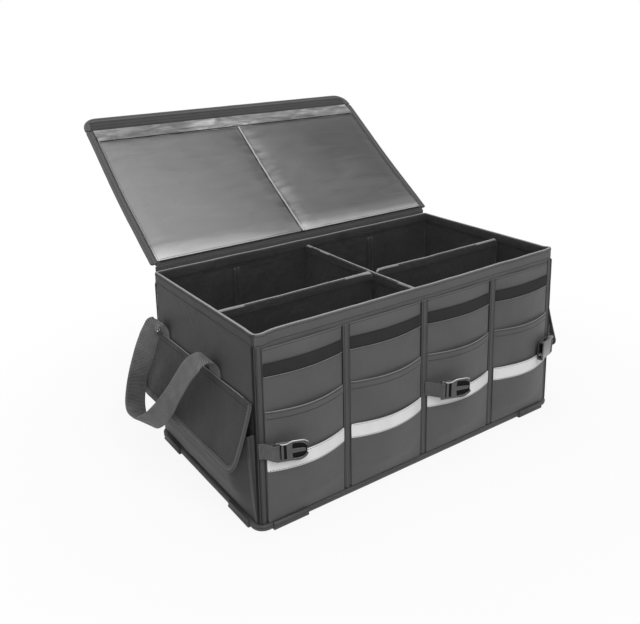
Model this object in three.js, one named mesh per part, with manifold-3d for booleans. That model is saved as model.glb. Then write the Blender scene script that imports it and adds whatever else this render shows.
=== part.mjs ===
// Collapsible trunk organizer: a fabric box with stiffened walls on a bound base board, four compartments,
// pocket columns on the front, a flapped pocket and a webbing handle on each side, and a hinged lid.
// Millimetres. +X runs right along the front, +Y front to back, +Z up, origin at the middle of the underside.
import * as THREE from 'three';
import { mergeVertices } from 'three/addons/utils/BufferGeometryUtils.js';
import Module from 'manifold-3d';

const wasm = await Module();
wasm.setup();

// Driving dimensions of the box, measured at the rim.
const width = 600;
const depth = 325;
const height = 300;
const baseSpread = 0.04; // share by which the walls spread from the rim to the floor
const wallThickness = 4;
const fabricThickness = 1.2;
const seamGap = 0.3; // clearance between pieces that are sewn on or against each other

// Rim hem, corner tapes and inner seam tapes.
const hemHeight = 19;
const hemStep = 0.8;
const cornerLegFront = 12;
const cornerLegSide = 3.5;
const cornerTapeDrop = 20; // from the rim to the top of the tape
const innerTapeWidth = 14;
const innerTapeThickness = 2.5;

// Base board with its bound edge and hook-backed grip strips.
const boardThickness = 10;
const boardRebate = 3;
const wallDatum = 9; // height above the floor that every height of the walls and lid counts from
const baseFlange = 7;
const baseCornerRadius = 18;
const bindingLip = 10;
const bindingBottom = 1.5;
const gripLength = 60;
const gripInset = 26;
const gripThickness = 1.5;
const gripLip = 1.2;
const gripLowerRoll = 7; // height of the lower of its two rounded rolls
const gripRollDepth = 2;

// Dividers.
const dividerThickness = 4;
const middleDividerDrop = 10; // from the rim to the top of the divider
const crossDividerDrop = 8;
const crossDividerY = -41;

// Front cover, pocket columns and strips: drops count from the rim, tops from the datum.
const columnCount = 4;
const coverDrop = 24;
const frontTapeWidth = 12;
const frontTapeThickness = 3;
const upperPocketTop = 183;
const lowerPocketTop = 108;
const reflectiveHeight = 25;
const reflectiveThickness = 0.8;
const hookStripHeight = 20;
const hookStripDrop = 45;
const hookStripThickness = 1.5;
const coverBulge = 7.5;
const upperPocketBulge = 15;
const lowerPocketBulge = 26;
const columnSteps = 10;

// Side pocket, its flap and the carrying handle.
const sideMargin = 4;
const sidePocketTop = 150;
const sidePocketThickness = 1.5;
const sidePocketEdge = 10;
const sidePocketDepth = 27;
const sidePocketFullest = 90;
const sidePocketMouth = 11.7;
const flapSeamHeight = 195;
const flapDrop = 100;
const flapFlare = 33;
const flapThickness = 1.6;
const flapCornerRadius = 22;
const webbingWidth = 35;
const webbingThickness = 2;
const handleHingeOut = 17;
const handleHingeHeight = 225;

// Side-release buckles on narrow webbing.
const strapWidth = 25;
const strapThickness = 1.5;
const strapHeight = 117; // middle of the buckles above the datum
const buckleWidth = 33;
const plugThickness = 4.5;
const plugFrameLength = 25;
const plugLength = 52;
const plugProngStart = 14; // back from the tip
const buckleBar = 4;
const buckleSlot = 4.5;
const socketLength = 42;
const socketThickness = 11;
const socketCavity = 7;
const plugCornerInset = 19; // from the box's left edge to the corner plug
const plugSeamOffset = 30; // from the middle seam to its plug
const socketCornerInset = 14; // from the box's right edge to the socket
const plugTilt = THREE.MathUtils.degToRad(19);
const socketTilt = THREE.MathUtils.degToRad(32);

// Lid.
const lidOpenAngle = THREE.MathUtils.degToRad(145.2);
const lidOverhang = 4;
const lidEdgeWidth = 13;
const lidEdgeThickness = 4;
const lidCoverThickness = 1.6;
const lidCoverRecess = 1.2;
const lidPanelThickness = 3.6;
const lidPanelLength = 289;
const lidPanelStart = 8;
const lidPanelSplit = 6;
const lidRimClearance = 0.6;
const foldClearance = 2.4;
const closingStripLength = 33;
const loopTapeThickness = 1.5;
const lidCornerRadius = 20;
const hingeTapeDrop = 18;

// Sizes that follow.
const cornerTapeTop = height - cornerTapeDrop;
const middleDividerTop = height - middleDividerDrop;
const crossDividerTop = height - crossDividerDrop;
const coverTop = height - coverDrop;
const hookStripTop = height - hookStripDrop;
const reflectiveBottom = lowerPocketTop - reflectiveHeight;
const hookStripBottom = hookStripTop - hookStripHeight;
const bindingTop = boardThickness + seamGap + fabricThickness;
const wallFoot = boardThickness + seamGap - wallDatum;
const trimFoot = bindingTop + seamGap + 0.2 - wallDatum;
const halfWidth = width / 2;
const halfDepth = depth / 2;
const innerClear = wallThickness + hemStep + seamGap;
const columnEdge = halfWidth - cornerLegFront - seamGap;
const columnPitch = width / columnCount;
const lidDepthBelowAxis = lidCoverRecess + lidCoverThickness + seamGap + lidPanelThickness;
const hingeY = halfDepth + hemStep + seamGap + fabricThickness / 2;
const hingeZ = height + lidRimClearance + lidDepthBelowAxis;
const stripDepthBelowAxis = lidCoverRecess + lidCoverThickness + seamGap + loopTapeThickness;
const foldDistance = hingeY + halfDepth + hemStep + foldClearance + stripDepthBelowAxis - lidEdgeThickness;

const charcoal = { color: 0x57575b, roughness: 0.9, metalness: 0 };
const charcoalDark = { color: 0x3a3a3d, roughness: 0.92, metalness: 0 };
const webbing = { color: 0x4a4a4d, roughness: 0.85, metalness: 0 };
const stripBlack = { color: 0x2b2b2d, roughness: 0.95, metalness: 0 };
const reflective = { color: 0xe4e4e4, roughness: 0.45, metalness: 0 };
const liner = { color: 0x77777b, roughness: 0.4, metalness: 0.1 };
const plastic = { color: 0x202022, roughness: 0.35, metalness: 0 };
const gripRubber = { color: 0x303033, roughness: 0.8, metalness: 0 };

const organizer = new THREE.Group();
const standing = new THREE.Group(); // all that stands on the base
standing.position.z = wallDatum;
organizer.add(standing);

// A closed geometry that keeps only shared positions, with its faces turned outwards.
function welded(geometry) {
  geometry.deleteAttribute('normal');
  geometry.deleteAttribute('uv');
  const merged = mergeVertices(geometry, 1e-4);
  const position = merged.getAttribute('position');
  const index = merged.index;
  const a = new THREE.Vector3();
  const b = new THREE.Vector3();
  const c = new THREE.Vector3();
  let volume = 0;
  for (let i = 0; i < index.count; i += 3) {
    a.fromBufferAttribute(position, index.getX(i));
    b.fromBufferAttribute(position, index.getX(i + 1));
    c.fromBufferAttribute(position, index.getX(i + 2));
    volume += a.dot(b.cross(c));
  }
  if (volume < 0) {
    for (let i = 0; i < index.count; i += 3) {
      const first = index.getX(i + 1);
      index.setX(i + 1, index.getX(i + 2));
      index.setX(i + 2, first);
    }
  }
  return merged;
}

function solid(geometry) {
  return new wasm.Manifold(new wasm.Mesh({
    numProp: 3,
    vertProperties: new Float32Array(geometry.getAttribute('position').array),
    triVerts: new Uint32Array(geometry.index.array),
  }));
}

function fromSolid(manifold) {
  const mesh = manifold.getMesh();
  const geometry = new THREE.BufferGeometry();
  geometry.setAttribute('position', new THREE.BufferAttribute(mesh.vertProperties, 3));
  geometry.setIndex(new THREE.BufferAttribute(mesh.triVerts, 1));
  return geometry;
}

function joined(geometries) {
  return fromSolid(geometries.map(solid).reduce((sum, next) => sum.add(next)));
}

function cut(geometry, tools) {
  return fromSolid(tools.map(solid).reduce((rest, tool) => rest.subtract(tool), solid(geometry)));
}

function block(x0, x1, y0, y1, z0, z1) {
  const box = new THREE.BoxGeometry(x1 - x0, y1 - y0, z1 - z0);
  box.translate((x0 + x1) / 2, (y0 + y1) / 2, (z0 + z1) / 2);
  return welded(box);
}

function extruded(shape, length, bevel = 0) {
  const options = { depth: length - 2 * bevel, bevelEnabled: bevel > 0, curveSegments: 5 };
  if (bevel > 0) {
    Object.assign(options, { bevelSize: bevel, bevelThickness: bevel });
    Object.assign(options, { bevelOffset: -bevel, bevelSegments: 1 });
  }
  const geometry = new THREE.ExtrudeGeometry(shape, options);
  geometry.translate(0, 0, bevel);
  return welded(geometry);
}

function outline(points) {
  return new THREE.Shape(points.map(([x, y]) => new THREE.Vector2(x, y)));
}

function roundedRectangle(halfX, halfY, radius) {
  const shape = new THREE.Shape();
  shape.moveTo(-halfX + radius, -halfY);
  shape.lineTo(halfX - radius, -halfY);
  shape.absarc(halfX - radius, -halfY + radius, radius, -Math.PI / 2, 0, false);
  shape.lineTo(halfX, halfY - radius);
  shape.absarc(halfX - radius, halfY - radius, radius, 0, Math.PI / 2, false);
  shape.lineTo(-halfX + radius, halfY);
  shape.absarc(-halfX + radius, halfY - radius, radius, Math.PI / 2, Math.PI, false);
  shape.lineTo(-halfX, -halfY + radius);
  shape.absarc(-halfX + radius, -halfY + radius, radius, Math.PI, Math.PI * 1.5, false);
  return shape;
}

// A thick sheet over a grid: pointAt gives the inner (side 0) and outer (side 1) face at each station.
function sheet(us, vs, pointAt) {
  const grid = new THREE.BoxGeometry(1, 1, 1, us.length - 1, vs.length - 1, 1);
  const innerFace = grid.groups[5];
  for (let i = innerFace.start; i < innerFace.start + innerFace.count; i += 6) {
    // Both faces split their squares along the same diagonal, so that stacked sheets stay parallel.
    grid.index.setX(i + 2, grid.index.getX(i + 4));
    grid.index.setX(i + 3, grid.index.getX(i));
  }
  const position = grid.getAttribute('position');
  for (let i = 0; i < position.count; i += 1) {
    const u = us[Math.round((position.getX(i) + 0.5) * (us.length - 1))];
    const v = vs[Math.round((position.getY(i) + 0.5) * (vs.length - 1))];
    const point = pointAt(u, v, position.getZ(i) > 0 ? 1 : 0);
    position.setXYZ(i, point.x, point.y, point.z);
  }
  return welded(grid);
}

function steps(from, to, count) {
  return Array.from({ length: count + 1 }, (_, i) => from + ((to - from) * i) / count);
}

// Straight-line profile through [height, value] knots.
function profile(knots) {
  return (z) => {
    const last = knots.length - 1;
    if (z <= knots[0][0]) return knots[0][1];
    if (z >= knots[last][0]) return knots[last][1];
    const i = knots.findIndex(([knotZ]) => knotZ > z);
    const [lowZ, low] = knots[i - 1];
    const [highZ, high] = knots[i];
    return low + ((high - low) * (z - lowZ)) / (highZ - lowZ);
  };
}

// The walls lean in towards the rim: plan sizes grow towards the floor.
const spreadAt = (z) => 1 + baseSpread * (1 - z / height);

function leaned(geometry) {
  const position = geometry.getAttribute('position');
  for (let i = 0; i < position.count; i += 1) {
    const spread = spreadAt(position.getZ(i));
    position.setX(i, position.getX(i) * spread);
    position.setY(i, position.getY(i) * spread);
  }
  return geometry;
}

// An upright profile drawn as (outwards, up), run horizontally along its wall.
function alongWall(shape, length, outward) {
  const up = new THREE.Vector3(0, 0, 1);
  const run = outward.clone().cross(up);
  const geometry = extruded(shape, length);
  geometry.translate(0, 0, -length / 2);
  return geometry.applyMatrix4(new THREE.Matrix4().makeBasis(outward, up, run));
}

function add(name, geometry, look, parent = standing) {
  const mesh = new THREE.Mesh(geometry, new THREE.MeshStandardMaterial(look));
  mesh.name = name;
  geometry.computeVertexNormals();
  parent.add(mesh);
  return mesh;
}

const toFront = new THREE.Vector3(0, -1, 0);
const toBack = new THREE.Vector3(0, 1, 0);
const toLeft = new THREE.Vector3(-1, 0, 0);

// Base board and its edge binding.
const baseHalf = { x: halfWidth * (1 + baseSpread), y: halfDepth * (1 + baseSpread) };
const baseOutline = (offset) => roundedRectangle(
  baseHalf.x + offset,
  baseHalf.y + offset,
  baseCornerRadius + offset - baseFlange,
);

function slab(offset, bottom, top) {
  return extruded(baseOutline(offset), top - bottom).translate(0, 0, bottom);
}

const boardEdge = baseFlange - fabricThickness - seamGap;
const boardStep = baseFlange - bindingLip;
add('base_board', joined([
  slab(boardStep - seamGap, 0, boardRebate + 1),
  slab(boardEdge, boardRebate, boardThickness),
]), charcoalDark, organizer);

add('base_binding', cut(slab(baseFlange, bindingBottom, bindingTop), [
  slab(boardEdge + seamGap, boardRebate - seamGap, boardThickness + seamGap),
  slab(boardStep, bindingBottom - 1, boardThickness),
  block(
    -baseHalf.x - seamGap, baseHalf.x + seamGap, -baseHalf.y - seamGap, baseHalf.y + seamGap,
    boardThickness, bindingTop + 1,
  ),
]), charcoalDark, organizer);

// Grip strips fold over the bound edge, two at each corner.
function gripProfile() {
  const outer = gripThickness;
  const top = bindingTop + seamGap + gripLip;
  const upperMiddle = (gripLowerRoll + top) / 2;
  const shape = new THREE.Shape();
  shape.moveTo(-bindingLip + gripThickness, 0);
  shape.lineTo(outer, 0);
  shape.quadraticCurveTo(outer + 2 * gripRollDepth, gripLowerRoll / 2, outer, gripLowerRoll);
  shape.quadraticCurveTo(outer + 2 * gripRollDepth, upperMiddle, outer, top);
  shape.lineTo(-2, top);
  shape.lineTo(-2, top - gripLip);
  shape.lineTo(0, top - gripLip);
  shape.lineTo(0, gripLip);
  shape.lineTo(-bindingLip + gripThickness, gripLip);
  shape.closePath();
  return shape;
}

const gripOffset = baseFlange + seamGap;
for (const [sideName, signX] of [['left', -1], ['right', 1]]) {
  for (const [endName, signY] of [['front', -1], ['back', 1]]) {
    const corner = new THREE.Group();
    corner.scale.set(signX, signY, 1);
    organizer.add(corner);
    const middle = gripInset + gripLength / 2 - baseFlange;
    const alongX = alongWall(gripProfile(), gripLength, toBack.clone());
    alongX.translate(baseHalf.x - middle, baseHalf.y + gripOffset, 0);
    add(`grip_${endName}_${sideName}`, alongX, gripRubber, corner);
    const alongY = alongWall(gripProfile(), gripLength, new THREE.Vector3(1, 0, 0));
    alongY.translate(baseHalf.x + gripOffset, baseHalf.y - middle, 0);
    add(`grip_${sideName}_${endName}`, alongY, gripRubber, corner);
  }
}

// Walls and dividers are stiffened panels with a folded hem at the top.
function hemmedProfile(thickness, foot, top) {
  const hem = top - hemHeight;
  return outline([
    [-thickness, foot], [0, foot], [0, hem], [hemStep, hem], [hemStep, top],
    [-thickness - hemStep, top], [-thickness - hemStep, hem], [-thickness, hem],
  ]);
}

const wallProfile = () => hemmedProfile(wallThickness, wallFoot, height);
add('wall_front', leaned(alongWall(wallProfile(), width, toFront).translate(0, -halfDepth, 0)), charcoal);

const backWall = alongWall(wallProfile(), width, toBack).translate(0, halfDepth, 0);
const innerTapes = [-1, 1].map((side) => block(
  side * columnPitch - innerTapeWidth / 2, side * columnPitch + innerTapeWidth / 2,
  halfDepth - wallThickness - innerTapeThickness, halfDepth - wallThickness / 2,
  wallFoot, height - hemHeight,
));
add('wall_back', leaned(joined([backWall, ...innerTapes])), charcoal);

const sideWallLength = depth - 2 * innerClear;
for (const [name, sign] of [['left', -1], ['right', 1]]) {
  const side = alongWall(wallProfile(), sideWallLength, new THREE.Vector3(sign, 0, 0));
  add(`wall_${name}`, leaned(side.translate(sign * halfWidth, 0, 0)), charcoal);
}

function divider(top, length, outward) {
  const panel = alongWall(hemmedProfile(dividerThickness, wallFoot, top), length, outward);
  return panel.translate(outward.x * (dividerThickness / 2), outward.y * (dividerThickness / 2), 0);
}

add('divider_middle', leaned(divider(middleDividerTop, depth - 2 * innerClear, toLeft)), charcoalDark);
const crossStart = dividerThickness / 2 + hemStep + seamGap;
const crossLength = halfWidth - innerClear - crossStart;
for (const [name, sign] of [['left', -1], ['right', 1]]) {
  const panel = divider(crossDividerTop, crossLength, toFront);
  panel.translate(sign * (crossStart + crossLength / 2), crossDividerY, 0);
  add(`divider_${name}`, leaned(panel), charcoalDark);
}

// Corner tapes wrap the upright edges below the hem.
function cornerTape() {
  const inner = seamGap;
  const outer = seamGap + fabricThickness;
  const shape = outline([
    [halfWidth - cornerLegFront, halfDepth + inner], [halfWidth + inner, halfDepth + inner],
    [halfWidth + inner, halfDepth - cornerLegSide], [halfWidth + outer, halfDepth - cornerLegSide],
    [halfWidth + outer, halfDepth + inner + 0.5], [halfWidth + inner + 0.5, halfDepth + outer],
    [halfWidth - cornerLegFront, halfDepth + outer],
  ]);
  return leaned(extruded(shape, cornerTapeTop - trimFoot).translate(0, 0, trimFoot));
}

for (const [sideName, signX] of [['left', -1], ['right', 1]]) {
  for (const [endName, signY] of [['front', -1], ['back', 1]]) {
    const corner = new THREE.Group();
    corner.scale.set(signX, signY, 1);
    standing.add(corner);
    add(`corner_tape_${endName}_${sideName}`, cornerTape(), charcoalDark, corner);
  }
}

// Front cover and pockets bulge like pillows between the upright seams.
const stations = [
  ...steps(trimFoot, reflectiveBottom, 3),
  ...steps(lowerPocketTop, upperPocketTop, 3),
  ...steps(hookStripBottom, hookStripTop, 1),
  coverTop,
];
const rowsBetween = (low, high) => stations.filter((z) => z >= low - 0.01 && z <= high + 0.01);

const coverProfile = profile([
  [trimFoot, 0], [reflectiveBottom, coverBulge * 0.2], [upperPocketTop, coverBulge * 0.4],
  [hookStripBottom, coverBulge], [hookStripTop, coverBulge], [coverTop, coverBulge * 0.13],
]);
const upperProfile = profile([
  [trimFoot, 0], [stations[1], upperPocketBulge * 0.25], [stations[2], upperPocketBulge * 0.5],
  [reflectiveBottom, upperPocketBulge * 0.7], [lowerPocketTop, upperPocketBulge * 0.87],
  [upperPocketTop, upperPocketBulge],
]);
const lowerProfile = profile([
  [trimFoot, 0], [stations[1], lowerPocketBulge * 0.5], [stations[2], lowerPocketBulge * 0.78],
  [reflectiveBottom, lowerPocketBulge * 0.94], [lowerPocketTop, lowerPocketBulge],
]);

const layerPitch = fabricThickness + seamGap;
const coverBase = seamGap;
const upperBase = coverBase + layerPitch;
const lowerBase = upperBase + layerPitch;
const tapeHalf = frontTapeWidth / 2 + seamGap;

const columns = Array.from({ length: columnCount }, (_, i) => {
  const from = i === 0 ? -columnEdge : -halfWidth + i * columnPitch + tapeHalf;
  const to = i === columnCount - 1 ? columnEdge : -halfWidth + (i + 1) * columnPitch - tapeHalf;
  return { from, to, xs: steps(from, to, columnSteps) };
});

function pillow(x) {
  const column = columns.find(({ from, to }) => x >= from && x <= to);
  return column ? Math.sin((Math.PI * (x - column.from)) / (column.to - column.from)) : 0;
}

function frontSheet(xs, low, high, base, thickness, bulgeAt) {
  return leaned(sheet(xs, rowsBetween(low, high), (x, z, side) => {
    const out = base + thickness * side + bulgeAt(z) * pillow(x);
    return new THREE.Vector3(x, -halfDepth - out, z);
  }));
}

const coverXs = columns.flatMap(({ xs }) => xs);
const cover = frontSheet(coverXs, trimFoot, coverTop, coverBase, fabricThickness, coverProfile);
add('front_cover', cover, charcoal);

columns.forEach(({ xs }, i) => {
  const number = i + 1;
  const upper = frontSheet(xs, trimFoot, upperPocketTop, upperBase, fabricThickness, upperProfile);
  add(`upper_pocket_${number}`, upper, charcoal);
  const lower = frontSheet(xs, trimFoot, lowerPocketTop, lowerBase, fabricThickness, lowerProfile);
  add(`lower_pocket_${number}`, lower, charcoal);
  const hook = frontSheet(xs, hookStripBottom, hookStripTop, upperBase, hookStripThickness, coverProfile);
  add(`hook_strip_${number}`, hook, stripBlack);
  const shine = frontSheet(
    xs, reflectiveBottom, lowerPocketTop, lowerBase + layerPitch, reflectiveThickness, lowerProfile,
  );
  add(`reflective_strip_${number}`, shine, reflective);
});

for (let i = 1; i < columnCount; i += 1) {
  const x = -halfWidth + i * columnPitch;
  const tape = block(
    x - frontTapeWidth / 2, x + frontTapeWidth / 2,
    -halfDepth - upperBase - frontTapeThickness, -halfDepth - upperBase,
    trimFoot, coverTop,
  );
  add(`front_tape_${i}`, leaned(tape), charcoalDark);
}

// Side pocket: a panel that stands off the wall between folded ends.
const sideFront = -halfDepth + sideMargin;
const sideBack = halfDepth - sideMargin;
const shoulder = 36;

const pocketEdgeAt = (z) => seamGap + sidePocketThickness + (sidePocketEdge * z) / sidePocketTop;
const pocketMiddleAt = profile([
  [trimFoot, seamGap + sidePocketThickness], [sidePocketFullest * 0.33, sidePocketDepth * 0.44],
  [sidePocketFullest * 0.66, sidePocketDepth * 0.8], [sidePocketFullest, sidePocketDepth + 1],
  [sidePocketFullest + 20, sidePocketDepth * 0.93], [sidePocketFullest + 40, sidePocketDepth * 0.73],
  [sidePocketTop, sidePocketMouth + sidePocketThickness],
]);

function smooth(share) {
  const t = Math.min(1, Math.max(0, share));
  return t * t * (3 - 2 * t);
}

function sidePocket() {
  const ends = [0, sidePocketThickness, shoulder * 0.35, shoulder * 0.7, shoulder];
  const fromFront = ends.map((d) => [d, sideFront + d]);
  const fromBack = ends.map((d) => [d, sideBack - d]).reverse();
  const columnAt = [...fromFront, ...fromBack].map(([inset, y]) => ({ inset, y, foot: false }));
  columnAt[0].foot = true;
  columnAt[columnAt.length - 1].foot = true;
  const us = columnAt.map((_, i) => i);
  const vs = [trimFoot, ...[0.33, 0.66, 1].map((share) => sidePocketFullest * share),
    sidePocketFullest + 20, sidePocketFullest + 40, sidePocketTop];
  return sheet(us, vs, (u, z, side) => {
    const { inset, y, foot } = columnAt[u];
    const full = pocketEdgeAt(z) + (pocketMiddleAt(z) - pocketEdgeAt(z)) * smooth(inset / shoulder);
    if (foot && side === 0) {
      const towardsMiddle = u === 0 ? sidePocketThickness : -sidePocketThickness;
      return new THREE.Vector3(-halfWidth - seamGap, y + towardsMiddle, z);
    }
    if (foot) return new THREE.Vector3(-halfWidth - seamGap, y, z);
    const atCorner = inset === sidePocketThickness;
    const cornerShift = u === 1 ? -sidePocketThickness : sidePocketThickness;
    if (atCorner && side === 1) return new THREE.Vector3(-halfWidth - full, y + cornerShift, z);
    const out = Math.max(full - (side === 0 ? sidePocketThickness : 0), seamGap + 0.05);
    return new THREE.Vector3(-halfWidth - out, y, z);
  });
}

// Side flap: sewn along its top edge, its free edge standing off over the pocket.
function flapOut(z) {
  return webbingThickness + ((flapSeamHeight - z) / flapDrop) ** 1.1 * flapFlare;
}

function sideFlap() {
  const rounding = steps(0, flapCornerRadius, 4);
  const ys = [...rounding.map((d) => sideFront + d), ...rounding.map((d) => sideBack - d).reverse()];
  return sheet(ys, steps(0, 1, 8), (y, share, side) => {
    const toEdge = Math.min(y - sideFront, sideBack - y, flapCornerRadius);
    const missing = flapCornerRadius - toEdge;
    const lift = flapCornerRadius - Math.sqrt(flapCornerRadius ** 2 - missing ** 2);
    const z = flapSeamHeight - share * (flapDrop - lift);
    return new THREE.Vector3(-halfWidth - flapOut(z) - flapThickness * side, y, z);
  });
}

// The handle is one length of webbing. Its ends come up behind the flap's seam and bend over outwards,
// and its loop hangs skewed towards the back. Each point is (out from the wall, y, z).
const handleEnds = { front: -50, back: 130 };
const handleEndHeight = handleHingeHeight - webbingThickness / 2;
const handleRoute = [
  [handleHingeOut + seamGap, handleEnds.front, handleEndHeight], [30, -23, 198], [46, -2, 162], [58, 16, 133],
  [67, 56, 97], [70, 102, 80], [69, 128, 92], [62, 134, 128], [50, 135, 168], [34, 135, 202],
  [handleHingeOut + seamGap, handleEnds.back, handleEndHeight],
];
// Direction across the webbing at each point of the route.
const handleAcross = [
  [0, -1, 0], [0, -0.92, -0.38], [0, -0.82, -0.57], [0.15, -0.65, -0.75], [0.5, -0.25, -0.83],
  [0.78, 0, -0.62], [0.95, 0, -0.3], [1, 0, 0], [0.93, -0.3, 0.2], [0.5, -0.8, 0.35], [0, -1, 0],
];

const fromWall = (out, y, z) => new THREE.Vector3(-halfWidth * spreadAt(z) - out, y, z);

// Flat webbing along a route: stations hold a middle point, the way along and the way across.
function ribbon(places, breadth, thickness) {
  return sheet([-0.5, 0.5], places.map((_, i) => i), (share, i, side) => {
    const { middle, along, across } = places[i];
    const face = along.clone().cross(across).normalize();
    return middle.clone()
      .addScaledVector(across, share * breadth)
      .addScaledVector(face, (side - 0.5) * thickness);
  });
}

function handleLoop() {
  const route = handleRoute.map(([out, y, z]) => fromWall(out, y, z));
  const curve = new THREE.CatmullRomCurve3(route, false, 'centripetal');
  const spans = handleRoute.length - 1;
  const places = steps(0, 1, spans * 3).map((t) => {
    const at = Math.min(Math.floor(t * spans), spans - 1);
    const share = t * spans - at;
    const low = new THREE.Vector3(...handleAcross[at]);
    const high = new THREE.Vector3(...handleAcross[at + 1]);
    const along = curve.getTangent(t);
    const across = low.lerp(high, smooth(share));
    across.addScaledVector(along, -across.dot(along)).normalize();
    return { middle: curve.getPoint(t), along, across };
  });
  for (const end of [places[0], places[places.length - 1]]) {
    const outward = end === places[0] ? -1 : 1;
    end.along.set(outward, 0, 0);
    end.across.set(0, -1, 0);
  }
  return ribbon(places, webbingWidth, webbingThickness);
}

function handleTab(y) {
  const half = webbingThickness / 2;
  const topOut = handleHingeOut;
  const topZ = handleHingeHeight - half;
  const bend = topOut - half - seamGap;
  const seat = half + seamGap + 0.1;
  const rise = steps(0, Math.PI / 2, 5).map((angle) => ({
    middle: fromWall(seat + bend * (1 - Math.cos(angle)), y, topZ - bend * (1 - Math.sin(angle))),
    along: new THREE.Vector3(-Math.sin(angle), 0, Math.cos(angle)),
    across: new THREE.Vector3(0, 1, 0),
  }));
  const foot = {
    middle: fromWall(seat, y, flapSeamHeight - 8),
    along: new THREE.Vector3(0, 0, 1),
    across: new THREE.Vector3(0, 1, 0),
  };
  return ribbon([foot, ...rise], webbingWidth, webbingThickness);
}

for (const [name, signX] of [['left', 1], ['right', -1]]) {
  const side = new THREE.Group();
  side.scale.x = signX;
  standing.add(side);
  add(`side_pocket_${name}`, leaned(sidePocket()), charcoal, side);
  const flap = joined([leaned(sideFlap()), handleTab(handleEnds.front), handleTab(handleEnds.back)]);
  add(`side_flap_${name}`, flap, charcoal, side);
  add(`handle_${name}`, handleLoop(), webbing, side);
}

// Buckles lie in their own frame: x from the strap end to the tip, y across, z away from the fabric.
function plug() {
  const half = buckleWidth / 2;
  const prong = plugLength - plugProngStart;
  const shoulder = prong + 3;
  const shape = new THREE.Shape();
  shape.moveTo(0, -half);
  shape.lineTo(plugFrameLength, -half);
  shape.bezierCurveTo(plugFrameLength + 6, -half - 0.5, plugFrameLength + 12, -half - 1.5, shoulder, -half);
  shape.bezierCurveTo(shoulder + 5, -half + 2, plugLength - 2, -half + 5, plugLength, -half + 9);
  shape.lineTo(plugLength - 3, -half + 10);
  shape.bezierCurveTo(shoulder + 5, -half + 6, shoulder + 1, -half + 4.5, prong, -half + 4);
  shape.lineTo(plugFrameLength + 2, -half + 3.5);
  shape.lineTo(plugFrameLength + 1, -4);
  shape.lineTo(plugLength - 7, -3);
  shape.absarc(plugLength - 7, 0, 3, -Math.PI / 2, Math.PI / 2, false);
  shape.lineTo(plugFrameLength + 1, 4);
  shape.lineTo(plugFrameLength + 2, half - 3.5);
  shape.lineTo(prong, half - 4);
  shape.bezierCurveTo(shoulder + 1, half - 4.5, shoulder + 5, half - 6, plugLength - 3, half - 10);
  shape.lineTo(plugLength, half - 9);
  shape.bezierCurveTo(plugLength - 2, half - 5, shoulder + 5, half - 2, shoulder, half);
  shape.bezierCurveTo(
    plugFrameLength + 12, half + 1.5, plugFrameLength + 6, half + 0.5, plugFrameLength, half,
  );
  shape.lineTo(0, half);
  shape.closePath();
  const slotHalf = strapWidth / 2 + 0.6;
  const slots = [buckleBar, 2 * buckleBar + buckleSlot].map((start) => (
    block(start, start + buckleSlot, -slotHalf, slotHalf, -1, plugThickness + 1)
  ));
  return cut(extruded(shape, plugThickness, 0.5), slots);
}

function socket() {
  const half = buckleWidth / 2 + 1.5;
  const slotHalf = strapWidth / 2 + 0.6;
  const bodyStart = buckleBar + buckleSlot;
  const shape = new THREE.Shape();
  shape.moveTo(0, -half + 2);
  shape.lineTo(bodyStart, -half);
  shape.bezierCurveTo(bodyStart + 8, -half + 1.5, socketLength - 12, -half + 1.5, socketLength, -half);
  shape.lineTo(socketLength, half);
  shape.bezierCurveTo(socketLength - 12, half - 1.5, bodyStart + 8, half - 1.5, bodyStart, half);
  shape.lineTo(0, half - 2);
  shape.closePath();
  const body = extruded(shape, socketThickness, 0.8);
  const wall = (socketThickness - socketCavity) / 2;
  const barLow = (socketThickness - plugThickness) / 2;
  const barHigh = barLow + plugThickness;
  return cut(body, [
    block(bodyStart + 3, socketLength + 1, -half + 3.5, half - 3.5, wall, socketThickness - wall),
    block(bodyStart + 10, socketLength - 10, -half - 1, half + 1, wall + 1, socketThickness - wall - 1),
    block(buckleBar, bodyStart, -slotHalf, slotHalf, -1, socketThickness + 1),
    block(-1, buckleBar + 0.5, -slotHalf, slotHalf, -1, barLow),
    block(-1, buckleBar + 0.5, -slotHalf, slotHalf, barHigh, socketThickness + 1),
  ]);
}

// A buckle's place: x along the front, how far its back stands off the wall, which way it points, its tilt.
const buckles = [
  {
    name: 'left', kind: 'plug', x: -halfWidth + plugCornerInset, out: 16.5, way: 1, tilt: plugTilt,
    seamX: -halfWidth + 1, seamOut: upperBase,
  },
  {
    name: 'middle', kind: 'plug', x: plugSeamOffset, out: 23.5, way: 1, tilt: plugTilt,
    seamX: 0, seamOut: upperBase + frontTapeThickness + seamGap,
  },
  {
    name: 'right', kind: 'socket', x: halfWidth - socketCornerInset, out: 10, way: -1, tilt: socketTilt,
    seamX: halfWidth - 1, seamOut: upperBase,
  },
];

function buckleFrame({ x, out, way, tilt }) {
  const spread = spreadAt(strapHeight);
  const along = new THREE.Vector3(way * Math.cos(tilt), -Math.sin(tilt), 0);
  const away = new THREE.Vector3(-way * Math.sin(tilt), -Math.cos(tilt), 0);
  const across = away.clone().cross(along);
  const matrix = new THREE.Matrix4().makeBasis(along, across, away);
  return matrix.setPosition(x * spread, -(halfDepth + out) * spread, strapHeight);
}

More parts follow.
